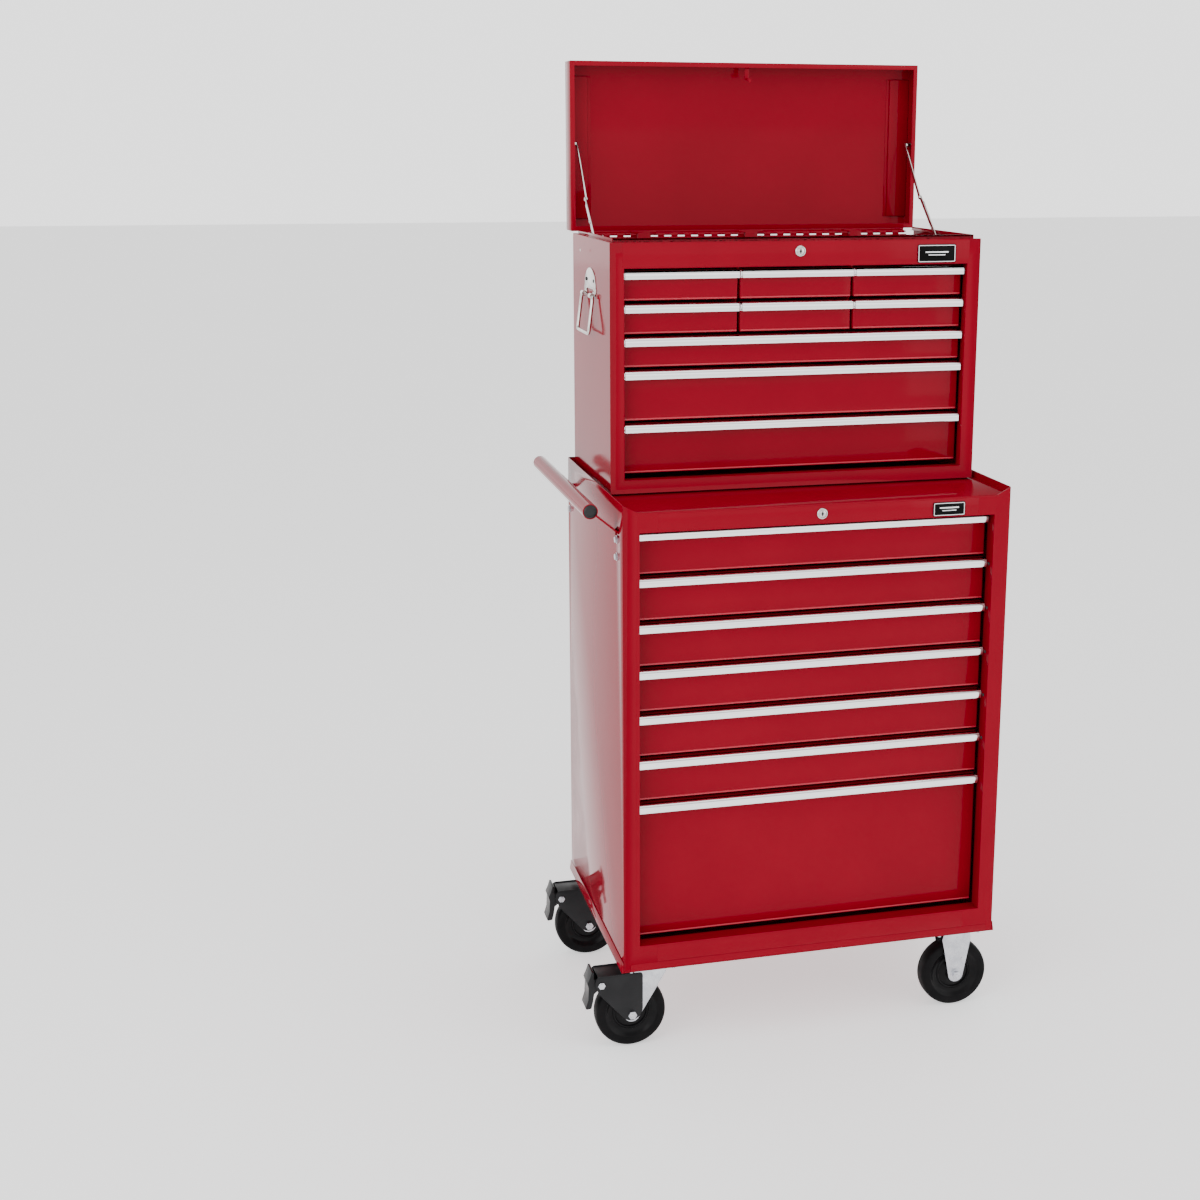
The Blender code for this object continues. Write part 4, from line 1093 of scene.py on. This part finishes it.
@dataclass
class Badge:
    """A plain name plate: black field, silver border and two plain rules."""

    name: str
    low: tuple[float, float]
    high: tuple[float, float]
    face: float
    thick: float = 0.0016
    border: float = 0.0011
    inset: float = 0.0012

    def build(self) -> None:
        """Build the plate, its border and its rules."""
        shape = [self.low, (self.high[0], self.low[1]), self.high, (self.low[0], self.high[1])]
        plate = pushed(rounded(shape, 0.003), Axis.Y, self.face - self.thick, self.face - 0.0002)
        edged(plate, 0.0003)
        settle(plate, f"{self.name}_plate", BADGE_BLACK)
        settle(joined([self.ring(), *self.rules()]), f"{self.name}_trim", BADGE_SILVER)

    def ring(self) -> BMesh:
        """Make the raised border."""
        low = (self.low[0] + self.inset, self.low[1] + self.inset)
        high = (self.high[0] - self.inset, self.high[1] - self.inset)
        front = self.face - self.thick - 0.0003
        shape = rounded([low, (high[0], low[1]), high, (low[0], high[1])], 0.0022)
        bm = pushed(shape, Axis.Y, front, front + 0.0006)
        ends = [face for face in bm.faces if abs(face.normal.y) > 0.9]
        bmesh.ops.inset_region(bm, faces=ends, thickness=self.border, depth=0.0, use_even_offset=True)
        caps = [face for face in bm.faces if abs(face.normal.y) > 0.9 and len(face.verts) > 4]
        loops = [edge for face in caps for edge in face.edges]
        bmesh.ops.delete(bm, geom=caps, context="FACES_ONLY")
        bmesh.ops.bridge_loops(bm, edges=loops)
        bmesh.ops.recalc_face_normals(bm, faces=bm.faces[:])
        return bm

    def rules(self) -> list[BMesh]:
        """Make the two plain rules across the plate."""
        middle = (self.low[1] + self.high[1]) / 2
        wide = self.high[0] - self.low[0]
        front = self.face - self.thick - 0.0002
        bars = []
        for lift, share, thick in ((0.0024, 0.60, 0.0011), (-0.0024, 0.44, 0.0007)):
            start = (self.low[0] + wide * (1 - share) / 2, front, middle + lift - thick)
            end = (self.high[0] - wide * (1 - share) / 2, front + 0.0005, middle + lift + thick)
            bars.append(block(start, end, 0.00015))
        return bars


@dataclass
class Lid:
    """The open lid: a shallow pan with a flanged rim, two stiffeners, the striker and the stays' studs; the
    hinge's fingers come with the hinge.
    """

    node: str = "lid"
    flange: float = 0.0085
    outer: float = 0.0014
    stiffener_wide: float = 0.038
    stiffener_inset: float = 0.0015
    stiffener_raise: float = 0.0045
    stiffener_end: float = 0.0245
    strap: tuple[float, float, float] = (0.008, 0.0015, 0.030)
    hook: float = 0.0100
    rise: float = 0.0085
    stud: float = 0.0045

    def build(self) -> None:
        """Build the lid's pieces."""
        low, high = corners(self.node)
        low = Vector((low.x, high.y - LID_DEEP, high.z - LID_TALL))
        self.pan(low, high)
        self.stiffeners(low, high)
        self.striker(low, high)
        self.studs()

    def pan(self, low: Vector, high: Vector) -> None:
        """Fold the pan and its flange from one sheet."""
        bm = block(low, high)
        mouth = [face for face in bm.faces if face.normal.y < -0.9]
        bmesh.ops.inset_region(bm, faces=mouth, thickness=self.flange, depth=0.0, use_even_offset=True)
        bmesh.ops.delete(bm, geom=mouth, context="FACES")
        walled(edged(bm, self.outer, 3))
        settle(bm, "lid_pan", RED_ENAMEL, "lid", self.node)

    def stiffeners(self, low: Vector, high: Vector) -> None:
        """Weld a hat-shaped stiffener inside each end."""
        floor = high.y - SHEET
        parts = []
        for side in Side:
            edge = side.pick(low, high) - side.value * self.stiffener_inset
            inner = edge - side.value * self.stiffener_wide
            xs = sorted((edge, inner))
            start = (xs[0], floor - self.stiffener_raise, low.z + self.stiffener_end - 0.004)
            end = (xs[1], floor + SHEET / 3, high.z - self.stiffener_end - 0.001)
            parts.append(block(start, end, 0.0012, 3))
            lip = (inner - side.value * 0.006, inner + side.value * 0.002)
            foot = (min(lip), floor - 0.0011, start[2])
            parts.append(block(foot, (max(lip), floor + SHEET / 3, end[2]), 0.0003))
        settle(joined(parts), "lid_stiffeners", RED_ENAMEL, "lid")

    def striker(self, low: Vector, high: Vector) -> None:
        """Hang the striker that the lock catches from the front edge."""
        wide, thick, long = self.strap
        centre = (low.x + high.x) / 2
        inside = low.y + self.rise
        foot = high.z - long
        front = low.y - self.hook
        left, right = centre - wide / 2, centre + wide / 2
        narrow = wide * 0.32
        strap = block((left, inside, foot), (right, inside + thick, high.z - SHEET / 2), 0.0003)
        hook = block((left, front, foot), (right, inside + thick / 2, foot + thick), 0.0003)
        toe = (centre - narrow, front, foot - 0.005)
        tab = block(toe, (centre + narrow, front + thick, foot + thick / 2), 0.0003)
        settle(joined([strap, hook, tab]), "lid_striker", RED_ENAMEL, "lid")

    def studs(self) -> None:
        """Rivet the stays' heads to the lid's ends."""
        for side in Side:
            name = side.name.lower()
            head = joint(f"stay_{name}_head")
            link = side.pick(*corners(f"stay_{name}_upper"))
            start = (side.pick(*corners("lid")) - side.value * 0.0008, head.y, head.z)
            stud = disc(self.stud, start, (-side.value, 0, 0), abs(link - start[0]) - 0.0001, 0.0003)
            settle(stud, f"stay_{name}_head_stud", STAY_NICKEL, "lid")


@dataclass
class PianoHinge:
    """The long hinge: one pin and two leaves whose fingers roll round it in turn."""

    knuckle: float = 0.0026
    wall: float = 0.0009
    finger: float = 0.0124
    pitch: float = 0.0254
    count: int = 25
    leaf: tuple[float, float] = (0.0220, 0.0047)
    band_over: float = 0.0005

    def build(self) -> None:
        """Build the fixed leaf, the lid's fingers and the pin."""
        pin = joint("lid_hinge")
        leaf_low, leaf_high = corners("hinge_leaf")
        first = MIDDLE.x - self.pitch * (self.count - 1) / 2
        self.fixed_leaf(pin, leaf_low, leaf_high, first)
        self.lid_fingers(pin, first)

    def fixed_leaf(self, pin: Vector, low: Vector, high: Vector, first: float) -> None:
        """Make the leaf on the chest's back with its fingers."""
        back = low.y
        start = (low.x, back, pin.z - self.leaf[0])
        end = (high.x, back + SHEET, pin.z - self.leaf[1])
        parts = [block(start, end, 0.0002)]
        for index in range(self.count - 1):
            centre = first + self.pitch * (index + 0.5)
            parts.append(self.finger_piece(pin, centre, back + SHEET / 2, pin.z - self.leaf[1] - 0.0004, -1))
        settle(joined(parts), "hinge_fixed_leaf", RED_ENAMEL, CARCASS, "hinge_leaf")
        rod = disc(self.knuckle - self.wall, (low.x, pin.y, pin.z), (1, 0, 0), high.x - low.x, steps=12)
        settle(rod, "hinge_pin", BRIGHT_ZINC)

    def lid_fingers(self, pin: Vector, first: float) -> None:
        """Make the lid's fingers, which roll up from its rim to the pin."""
        high = corners("lid")[1]
        rim, base = high.y - LID_DEEP, high.z - LID_TALL
        reach = self.pitch * (self.count - 1) / 2 + self.finger / 2
        band = (MIDDLE.x - reach, rim, pin.z + self.band_over)
        parts = [block(band, (MIDDLE.x + reach, rim + SHEET, base + SHEET / 2), 0.0002)]
        for index in range(self.count):
            centre = first + self.pitch * index
            parts.append(self.finger_piece(pin, centre, rim + SHEET / 2, base + 0.0004, 1))
        settle(joined(parts), "hinge_lid_fingers", RED_ENAMEL, "lid")

    def finger_piece(self, pin: Vector, centre: float, sheet: float, edge: float, up: int) -> BMesh:
        """Roll one finger: a strip from the leaf's edge that wraps round the pin.

        Args:
            pin: The pin's place.
            centre: The finger's middle in X.
            sheet: The leaf's middle surface in Y.
            edge: The height at which the finger leaves its leaf.
            up: 1 where the leaf is above the pin, -1 where it is below.

        Returns:
            The finger's mesh.
        """
        radius = self.knuckle - self.wall / 2
        inward = 1 if sheet > pin.y else -1
        start = 0 if inward > 0 else 180
        wrap = arc((pin.y, pin.z), radius, start, start - inward * up * 300, 12)
        path = [(sheet, edge + up * 0.0001), (sheet, (edge + 2 * pin.z) / 3), *wrap]
        return pushed(self.thickened(path), Axis.X, centre - self.finger / 2, centre + self.finger / 2)

    def thickened(self, path: Sequence[Point]) -> Outline:
        """Give an open path a thickness, as one closed outline."""
        spots = [Vector(spot) for spot in path]
        near, far = [], []
        for index, spot in enumerate(spots):
            ahead = spots[min(index + 1, len(spots) - 1)] - spots[max(index - 1, 0)]
            across = Vector((-ahead.y, ahead.x)).normalized() * self.wall / 2
            near.append(tuple(spot + across))
            far.append(tuple(spot - across))
        return near + far[::-1]


@dataclass
class Stay:
    """A folding stay: two flat links joined by a rivet, with a spring clip beside the elbow."""

    side: Side
    wide: float = 0.0080
    rivet: float = 0.0036

    def build(self) -> None:
        """Build both links, the elbow's rivet and the clip."""
        name = self.side.name.lower()
        foot, head = joint(f"stay_{name}_foot"), joint(f"stay_{name}_head")
        lower_low, lower_high = corners(f"stay_{name}_lower")
        upper_low, upper_high = corners(f"stay_{name}_upper")
        elbow = Vector((0.0, lower_high.y - self.wide / 2, lower_high.z - self.wide / 2))
        self.link(f"stay_{name}_lower", foot, elbow, lower_low.x, lower_high.x)
        self.link(f"stay_{name}_upper", head, elbow, upper_low.x, upper_high.x)
        self.rivets(name, foot, elbow, (lower_low.x, lower_high.x), (upper_low.x, upper_high.x))
        self.clip(name, foot, elbow, (lower_low.x, lower_high.x))

    def link(self, node: str, start: Vector, end: Vector, low: float, high: float) -> None:
        """Cut one link with round ends."""
        first, last = Vector((start.y, start.z)), Vector((end.y, end.z))
        heading = math.degrees(math.atan2(last.y - first.y, last.x - first.x))
        outline = arc(first, self.wide / 2, heading + 90, heading + 270, 10)
        outline += arc(last, self.wide / 2, heading - 90, heading + 90, 10)
        bm = pushed(outline, Axis.X, low, high)
        edged(bm, 0.00025)
        settle(bm, f"{node}_link", STAY_NICKEL, node, node)

    def rivets(self, name: str, foot: Vector, elbow: Vector, lower: Point, upper: Point) -> None:
        """Close the foot and the elbow with domed rivets."""
        inward = -self.side.value
        outside, lower_face = lower[::inward]
        upper_face = upper[::inward][1]
        foot_rivet = dome(self.rivet, (lower_face, foot.y, foot.z), (inward, 0, 0), 0.0018)
        shank = dome(self.rivet, (outside, elbow.y, elbow.z), (-inward, 0, 0), 0.0012)
        settle(joined([foot_rivet, shank]), f"stay_{name}_lower_rivets", STAY_NICKEL, f"stay_{name}_lower")
        elbow_rivet = dome(self.rivet, (upper_face, elbow.y, elbow.z), (inward, 0, 0), 0.0018)
        settle(elbow_rivet, f"stay_{name}_upper_rivet", STAY_NICKEL, f"stay_{name}_upper")

    def clip(self, name: str, foot: Vector, elbow: Vector, faces: Point) -> None:
        """Lay the spring clip that holds the elbow straight on the outer face of the lower link."""
        outward = self.side.value
        face = faces[::-outward][0]
        line = (elbow - foot).yz.normalized()
        aside = Vector((-line.y, line.x)) * self.wide / 2
        near = elbow.yz - line * 0.062
        far = elbow.yz - line * 0.014
        outline = [near - aside * 0.4, far - aside * 0.4, far + aside * 1.25, near + aside]
        ends = sorted((face, face + outward * 0.0008))
        bar = pushed(rounded(outline, 0.002), Axis.X, *ends)
        head = dome(0.0026, (face + outward * 0.0008, *(near + line * 0.006)), (outward, 0, 0), 0.0009)
        settle(joined([bar, head]), f"stay_{name}_clip", STAY_NICKEL, f"stay_{name}_lower")


@dataclass
class CarryHandle:
    """A carry handle: a wire bail whose ends turn in the curled lugs of a riveted bracket."""

    side: Side
    wire: float = 0.0030
    bend: float = 0.0085
    tip: float = 0.0105
    lean: float = 0.0015
    bracket_high: float = 0.046
    sheet: float = 0.0015
    rivet: float = 0.0031

    def build(self) -> None:
        """Build the bail and its bracket."""
        name = f"carry_bail_{self.side.name.lower()}"
        low, high = corners(name)
        pivot = joint(f"{name}_swing")
        self.bail(name, low, high, pivot)
        self.bracket(name, low, high, pivot)

    def bail(self, name: str, low: Vector, high: Vector, pivot: Vector) -> None:
        """Bend the bail from one wire, a little narrower at its pivots."""
        foot = self.side.pick(low, high) - self.side.value * self.wire
        front, back = low.y + self.wire, high.y - self.wire
        path = [
            (pivot.x, front + self.tip, pivot.z), (pivot.x, front + self.lean, pivot.z),
            (foot, front, low.z + self.wire), (foot, back, low.z + self.wire),
            (pivot.x, back - self.lean, pivot.z), (pivot.x, back - self.tip, pivot.z),
        ]  # fmt: skip
        settle(wire(path, self.wire, self.bend, 14), f"{name}_wire", NICKEL, name, name)

    def bracket(self, name: str, low: Vector, high: Vector, pivot: Vector) -> None:
        """Press the bracket: a round-headed plate with a curled lug at each end of the bail."""
        out = self.side.value
        wall = self.side.pick(*corners("chest_face_frame"))
        middle, half = (low.y + high.y) / 2, (high.y - low.y) / 2 - 0.006
        shoulder, rise = pivot.z + 0.014, self.bracket_high - 0.014
        head = [(middle + half * across, shoulder + rise * up) for across, up in arc((0, 0), 1.0, 0, 180, 20)]
        ear = [(0.5, shoulder - 0.004), (1.0, pivot.z + 0.003), (1.08, shoulder - 0.004)]
        outline = [(middle - across * half, z) for across, z in ear] + head[::-1]
        outline += [(middle + across * half, z) for across, z in ear[::-1]]
        xs = sorted((wall, wall + out * self.sheet))
        plate = pushed(outline, Axis.X, *xs)
        edged(plate, 0.0004)
        turn = (180, -110) if out > 0 else (0, 290)
        lugs = []
        for end in (-1, 1):
            edge = middle + end * half
            inner = edge - end * 0.020
            ys = sorted((inner, edge - end * 0.0035))
            curl, inside = (arc((pivot.x, pivot.z), self.wire * share, *turn, 12) for share in (1.55, 1.05))
            lugs.append(pushed([*curl, *inside[::-1]], Axis.Y, *ys))
            web_x = sorted((wall, pivot.x - out * self.wire * 1.05))
            lugs.append(block((web_x[0], ys[0], pivot.z - 0.001), (web_x[1], ys[1], pivot.z + 0.006), 0.0004))
        settle(joined([plate, *lugs]), f"{name}_bracket", NICKEL)
        face = xs[1] if out > 0 else xs[0]
        spots = [(face, middle + end * 0.70 * half, pivot.z + 0.025) for end in (-1, 1)]
        rivets = [dome(self.rivet, spot, (out, 0, 0), 0.0014) for spot in spots]
        settle(joined(rivets), f"{name}_rivets", BLACK_ENAMEL)


@dataclass
class PushHandle:
    """The push handle: a painted tube with plastic end caps on two straps bolted through the side."""

    tube: float = 0.0127
    tube_wall: float = 0.0014
    strap_wide: float = 0.025
    strap_thick: float = 0.003
    strap_places: tuple[float, float] = (0.0, 0.394)
    tube_front: float = 0.0035
    slot_drop: float = 0.054
    leg: float = 0.052
    bolt: float = 0.0055
    bolt_drops: tuple[float, float] = (0.011, 0.040)
    cap_deep: float = 0.0110

    def build(self) -> None:
        """Build the tube, its caps, the straps and their bolts."""
        low, high = corners("push_handle")
        centre = Vector((low.x + self.tube, 0.0, high.z - self.tube))
        wall = corners("cabinet_shell")[0].x
        self.rail(low, high, centre)
        for number, offset in enumerate(self.strap_places, 1):
            self.strap(number, low.y + offset, centre, wall)

    def rail(self, low: Vector, high: Vector, centre: Vector) -> None:
        """Cut the tube and press a cap into each end."""
        outer, inner = self.tube, self.tube - self.tube_wall
        front = low.y + self.tube_front
        long = high.y - front
        rim = 0.0006
        profile = [(inner, 0.0), (outer - rim, 0.0), (outer, rim)]
        profile += [(outer, long - rim), (outer - rim, long), (inner, long)]
        tube = turned(profile, (centre.x, front, centre.z), (0, 1, 0), 40)
        settle(tube, "push_tube", RED_ENAMEL, CARCASS, "push_handle")
        profile = [
            (0.0, 0.0), (inner, 0.0), (inner, 0.0105), (inner - 0.0012, 0.0118), (inner * 0.72, 0.0122),
            (inner * 0.70, 0.0112), (0.0, 0.0110),
        ]  # fmt: skip
        caps = [
            turned(profile, (centre.x, end - way * self.cap_deep, centre.z), (0, way, 0))
            for end, way in ((front, -1), (high.y, 1))
        ]
        settle(joined(caps), "push_tube_caps", BLACK_PLASTIC)

    def strap(self, number: int, start: float, centre: Vector, wall: float) -> None:
        """Bend one strap from the tube through the side's slot and down to its bolts.

        Args:
            number: Which strap it is, front to back.
            start: Its front edge in Y.
            centre: The tube's axis.
            wall: The cabinet's outer side.
        """
        top = corners("cabinet_shell")[1].z
        slot = top - self.slot_drop
        inside = wall + SHEET + 0.0004
        path = [
            (centre.x + 0.6 * self.tube, centre.z - 0.6 * self.tube), (wall - 0.001, slot + 0.001),
            (inside + 0.0002, slot - 0.001), (inside + 0.0002, slot - self.leg),
        ]  # fmt: skip
        bm = folded(path, Axis.Y, start, start + self.strap_wide, self.strap_thick, 0.006)
        settle(bm, f"push_strap_{number}", RED_ENAMEL)
        bolts, middle = [], start + self.strap_wide / 2
        for drop in self.bolt_drops:
            z = slot - drop
            bolts.append(disc(self.bolt * 1.25, (wall, middle, z), (-1, 0, 0), 0.0009))
            bolts.append(disc(self.bolt, (wall - 0.0008, middle, z), (-1, 0, 0), 0.0034, 0.0005, 6))
        settle(joined(bolts), f"push_bolts_{number}", BRIGHT_ZINC)


@dataclass
class Wheel:
    """A solid caster wheel with a dished web, a raised ring round its hub and a rounded tread."""

    node: str
    hub: float = 0.018
    bore: float = 0.0046

    def build(self) -> None:
        """Turn the tyre and the wheel's middle."""
        low, high = corners(self.node)
        centre = (low + high) / 2
        edge, half = (high.x - low.x) / 2, (high.y - low.y) / 2 - 0.002
        side = [
            (self.bore, self.hub), (0.20 * edge, self.hub), (0.225 * edge, self.hub - 0.0008),
            (0.25 * edge, 0.72 * half), (0.30 * edge, 0.58 * half), (0.44 * edge, 0.52 * half),
            (0.455 * edge, 0.66 * half), (0.475 * edge, 0.70 * half), (0.50 * edge, 0.66 * half),
            (0.52 * edge, 0.54 * half), (0.60 * edge, 0.58 * half), (0.66 * edge, 0.70 * half),
            (0.71 * edge, 0.90 * half), (0.735 * edge, 0.955 * half),
        ]  # fmt: skip
        middle = self.spun(side, centre)
        settle(middle, f"{self.node}_core", WHEEL_CORE, self.node, self.node, 35.0)
        tread = [
            (0.70 * edge, 0.80 * half), (0.725 * edge, 0.93 * half), (0.75 * edge, 0.985 * half),
            (0.80 * edge, half), (0.89 * edge, half),
            (0.925 * edge, 0.975 * half), (0.955 * edge, 0.90 * half), (0.980 * edge, 0.76 * half),
            (0.995 * edge, 0.50 * half), (edge, 0.20 * half),
        ]  # fmt: skip
        settle(self.spun(tread, centre), f"{self.node}_tread", WHEEL_TREAD, self.node, "", 35.0)

    def spun(self, side: Outline, centre: Vector) -> BMesh:
        """Turn a closed ring from the profile of its front side."""
        return turned([(radius, -at) for radius, at in side] + side[::-1], centre, (0, 1, 0), 72)


@dataclass
class Caster:
    """The parts that both kinds of caster share: the plate with its bolts, the legs and the axle."""

    node: str
    wheel: str
    swing: Swing
    leg: float = 0.0025
    gap: float = 0.0188
    end: float = 0.014
    nut: float = 0.0078
    nut_high: float = 0.0062
    plate: tuple[float, float, float] = (0.095, 0.075, 0.0025)

    def build(self) -> None:
        """Build the caster's fork and plate."""
        top = corners(self.node)[1].z
        wheel_low, wheel_high = corners(self.wheel)
        hub = (wheel_low + wheel_high) / 2
        body = CARCASS if self.swing is Swing.RIGID else self.node
        if self.swing is Swing.RIGID:
            self.rigid_legs(hub, top)
            pivot = hub.x
        else:
            pivot = joint(self.node.replace("_fork", "") + "_swivel").x
            self.swivel_legs(hub, pivot, top)
            BrakeHousing(self.node, self.wheel.replace("wheel_left", "brake_pedal")).build(hub)
        self.axle(hub, body)
        self.top_plate(pivot, hub.y, top)

    def legs(self, outline: Outline, hub: Vector) -> list[BMesh]:
        """Cut both legs of the fork from one outline."""
        parts = []
        for side in (-1, 1):
            ys = sorted((hub.y + side * self.gap, hub.y + side * (self.gap + self.leg)))
            leg = pushed(outline, Axis.Y, *ys)
            edged(leg, 0.0005, degrees=50.0)
            parts.append(leg)
        return parts

    def crown(self, low: float, high: float, y: float, top: float) -> BMesh:
        """Bend the crown that joins both legs."""
        reach = self.gap + self.leg
        return block((low, y - reach, top - 0.003), (high, y + reach, top), 0.0012, 3)

    def rigid_legs(self, hub: Vector, top: float) -> None:
        """Make the rigid fork: tapered legs with pressed dimples under a crown."""
        x = hub.x
        outline = [
            (x - 0.022, top), (x - 0.0275, top - 0.019), *arc((x, hub.z), self.end, 190, 350, 12),
            (x + 0.0275, top - 0.019), (x + 0.022, top),
        ]  # fmt: skip
        crown = self.crown(x - 0.022, x + 0.022, hub.y, top)
        dimples = []
        for side in (-1, 1):
            face = hub.y + side * (self.gap + self.leg)
            for across, up in ((-0.011, 0.030), (0.011, 0.030)):
                dimples.append(dome(0.0022, (x + across, face, hub.z + up), (0, side, 0), 0.0011, 12))
        parts = [crown, *self.legs(outline, hub), *dimples]
        settle(joined(parts), f"{self.node}_frame", BRIGHT_ZINC, CARCASS, self.node)

    def swivel_legs(self, hub: Vector, pivot: float, top: float) -> None:
        """Make the swivel fork: trailing legs under a crown and the two races of its bearing."""
        crown_top = top - 0.008
        outline = [
            (pivot - 0.030, crown_top), *arc((hub.x, hub.z), self.end, 170, 320, 12),
            (pivot + 0.026, crown_top - 0.007), (pivot + 0.026, crown_top),
        ]  # fmt: skip
        crown = self.crown(pivot - 0.030, pivot + 0.026, hub.y, crown_top)
        race = [(0.0, 0.0), (0.024, 0.0), (0.0285, 0.0020), (0.0300, 0.0042), (0.0288, 0.0058), (0.0, 0.0058)]
        washer = [(0.0, 0.0), (0.0262, 0.0), (0.0270, 0.0012), (0.0255, 0.0024), (0.0, 0.0024)]
        races = [
            turned(profile, (pivot, hub.y, z), (0, 0, 1), 40)
            for profile, z in ((race, crown_top - 0.0008), (washer, top - 0.0026))
        ]
        parts = [crown, *self.legs(outline, hub), *races]
        settle(joined(parts), f"{self.node}_frame", BRIGHT_ZINC, self.node, self.node)

    def axle(self, hub: Vector, body: str) -> None:
        """Fit the axle with a hex nut and a washer at each end."""
        face = self.gap + self.leg
        parts = [disc(0.004, (hub.x, hub.y - face, hub.z), (0, 1, 0), 2 * face, steps=16)]
        for side in (-1, 1):
            start, way = hub.y + side * face, (0, side, 0)
            washer, head, end = ((hub.x, start + side * lift, hub.z) for lift in (-0.0001, 0.0009, 0.0))
            parts.append(disc(self.nut * 1.28, washer, way, 0.0011, 0.0002))
            parts.append(disc(self.nut, head, way, self.nut_high - 0.0010, 0.0006, 6))
            parts.append(disc(0.0036, end, way, self.nut_high + 0.0008, 0.0006, 16))
        settle(joined(parts), f"{self.node}_axle", BRIGHT_ZINC, body)

    def top_plate(self, x: float, y: float, top: float) -> None:
        """Bolt the caster's plate under the cabinet with four hex bolts."""
        wide, deep, thick = self.plate
        start = (x - wide / 2, y - deep / 2, top + 0.0001)
        plate = block(start, (x + wide / 2, y + deep / 2, top + thick), 0.0006)
        bolts = []
        for across in (-1, 1):
            for along in (-1, 1):
                place = (x + across * (wide / 2 - 0.010), y + along * (deep / 2 - 0.010), top + 0.0002)
                bolts.append(disc(0.0062, place, (0, 0, -1), 0.0046, 0.0006, 6))
                bolts.append(disc(0.0034, (place[0], place[1], top), (0, 0, -1), 0.0072, 0.0004, 12))
        settle(joined([plate, *bolts]), f"{self.node}_plate", BRIGHT_ZINC)


@dataclass
class BrakeHousing:
    """The brake of a swivel caster: black cheeks with a cover, their bolt and the rocker pedal."""

    node: str
    pedal: str
    cheek: float = 0.0015
    face: float = 0.0213

    def build(self, hub: Vector) -> None:
        """Build the housing and the pedal.

        Args:
            hub: The wheel's middle.
        """
        pin = joint(f"{self.pedal}_rock")
        self.cheeks(hub, pin)
        self.rocker(pin)

    def cheeks(self, hub: Vector, pin: Vector) -> None:
        """Press the two cheeks and the cover, and bolt them together."""
        top = pin.z + 0.0165
        outline = [
            (hub.x + 0.019, hub.z + 0.006), (hub.x + 0.019, top), (pin.x - 0.008, top),
            (pin.x - 0.012, pin.z + 0.001), (pin.x - 0.004, pin.z - 0.017),
            (hub.x - 0.012, hub.z - 0.008), (hub.x, hub.z - 0.012),
            (hub.x + 0.012, hub.z - 0.006),
        ]  # fmt: skip
        smooth = rounded(outline, 0.006)
        outer = self.face + self.cheek
        parts = []
        for side in (-1, 1):
            ys = sorted((hub.y + side * (self.face + 0.0001), hub.y + side * outer))
            cheek = pushed(smooth, Axis.Y, *ys)
            edged(cheek, 0.0004)
            parts.append(cheek)
        start = (pin.x - 0.006, hub.y - outer, top - 0.0036)
        cover = block(start, (hub.x + 0.012, hub.y + outer, top - 0.0016), 0.0009, 3)
        settle(joined([*parts, cover]), f"{self.node}_brake_housing", BLACK_ENAMEL, self.node)
        reach = outer + 0.004
        bolts = [disc(0.0046, (pin.x, hub.y - reach, pin.z), (0, 1, 0), 2 * reach, steps=16)]
        for side in (-1, 1):
            start = hub.y + side * (outer - 0.0001)
            bolts.append(disc(0.0066, (pin.x, start, pin.z), (0, side, 0), 0.0030, 0.0008, 6))
        settle(joined(bolts), f"{self.node}_brake_bolts", BRIGHT_ZINC, self.node)

    def rocker(self, pin: Vector) -> None:
        """Press the pedal: a rocker plate with a rolled toe lip at its foot."""
        low, high = corners(self.pedal)
        x, z = pin.x, pin.z
        outline = [
            (x - 0.012, high.z - 0.0015), (x - 0.0125, z + 0.011), *arc((x, z), 0.008, 120, -100, 10),
            (x - 0.012, z - 0.017), (x - 0.014, z - 0.031), (x - 0.017, z - 0.0435),
            (x - 0.0245, low.z + 0.0003), (low.x + 0.0002, low.z + 0.0018), (x - 0.0225, z - 0.027),
            (x - 0.0215, z - 0.005), (x - 0.024, z + 0.003), (x - 0.0195, z + 0.013), (x - 0.016, high.z),
        ]  # fmt: skip
        bm = pushed(outline, Axis.Y, low.y, high.y)
        edged(bm, 0.0008, 3, 35.0)
        settle(bm, f"{self.pedal}_rocker", BLACK_ENAMEL, self.pedal, self.pedal)


def build_badges() -> None:
    """Fix the plain name plates to the right of both headers."""
    places = {"cabinet": ((0.198, 0.9255), (0.256, 0.9495)), "chest": ((0.212, 1.3420), (0.282, 1.3730))}
    for case, (low, high) in places.items():
        face = corners(f"{case}_face_frame")[0].y - FRONT_PROUD
        Badge(f"{case}_badge", (MIDDLE.x + low[0], low[1]), (MIDDLE.x + high[0], high[1]), face).build()


def main() -> None:
    """Build the studio and every sub-assembly in order."""
    logging.basicConfig(level=logging.INFO, format="%(message)s")
    Studio().build()
    Cabinet().build()
    Chest().build()
    for node in frame["nodes"]:
        if "_drawer_" in node and not node.endswith("_pull"):
            Drawer(node).build()
    for node in ("cabinet_lock", "chest_lock"):
        KeyLock(node).build()
    build_badges()
    Lid().build()
    PianoHinge().build()
    for side in Side:
        Stay(side).build()
        CarryHandle(side).build()
    PushHandle().build()
    for end in ("front", "rear"):
        for side, swing in ((Side.LEFT, Swing.SWIVEL), (Side.RIGHT, Swing.RIGID)):
            place = f"{side.name.lower()}_{end}"
            Caster(f"caster_fork_{place}", f"wheel_{place}", swing).build()
            Wheel(f"wheel_{place}").build()


if __name__ == "__main__":
    main()
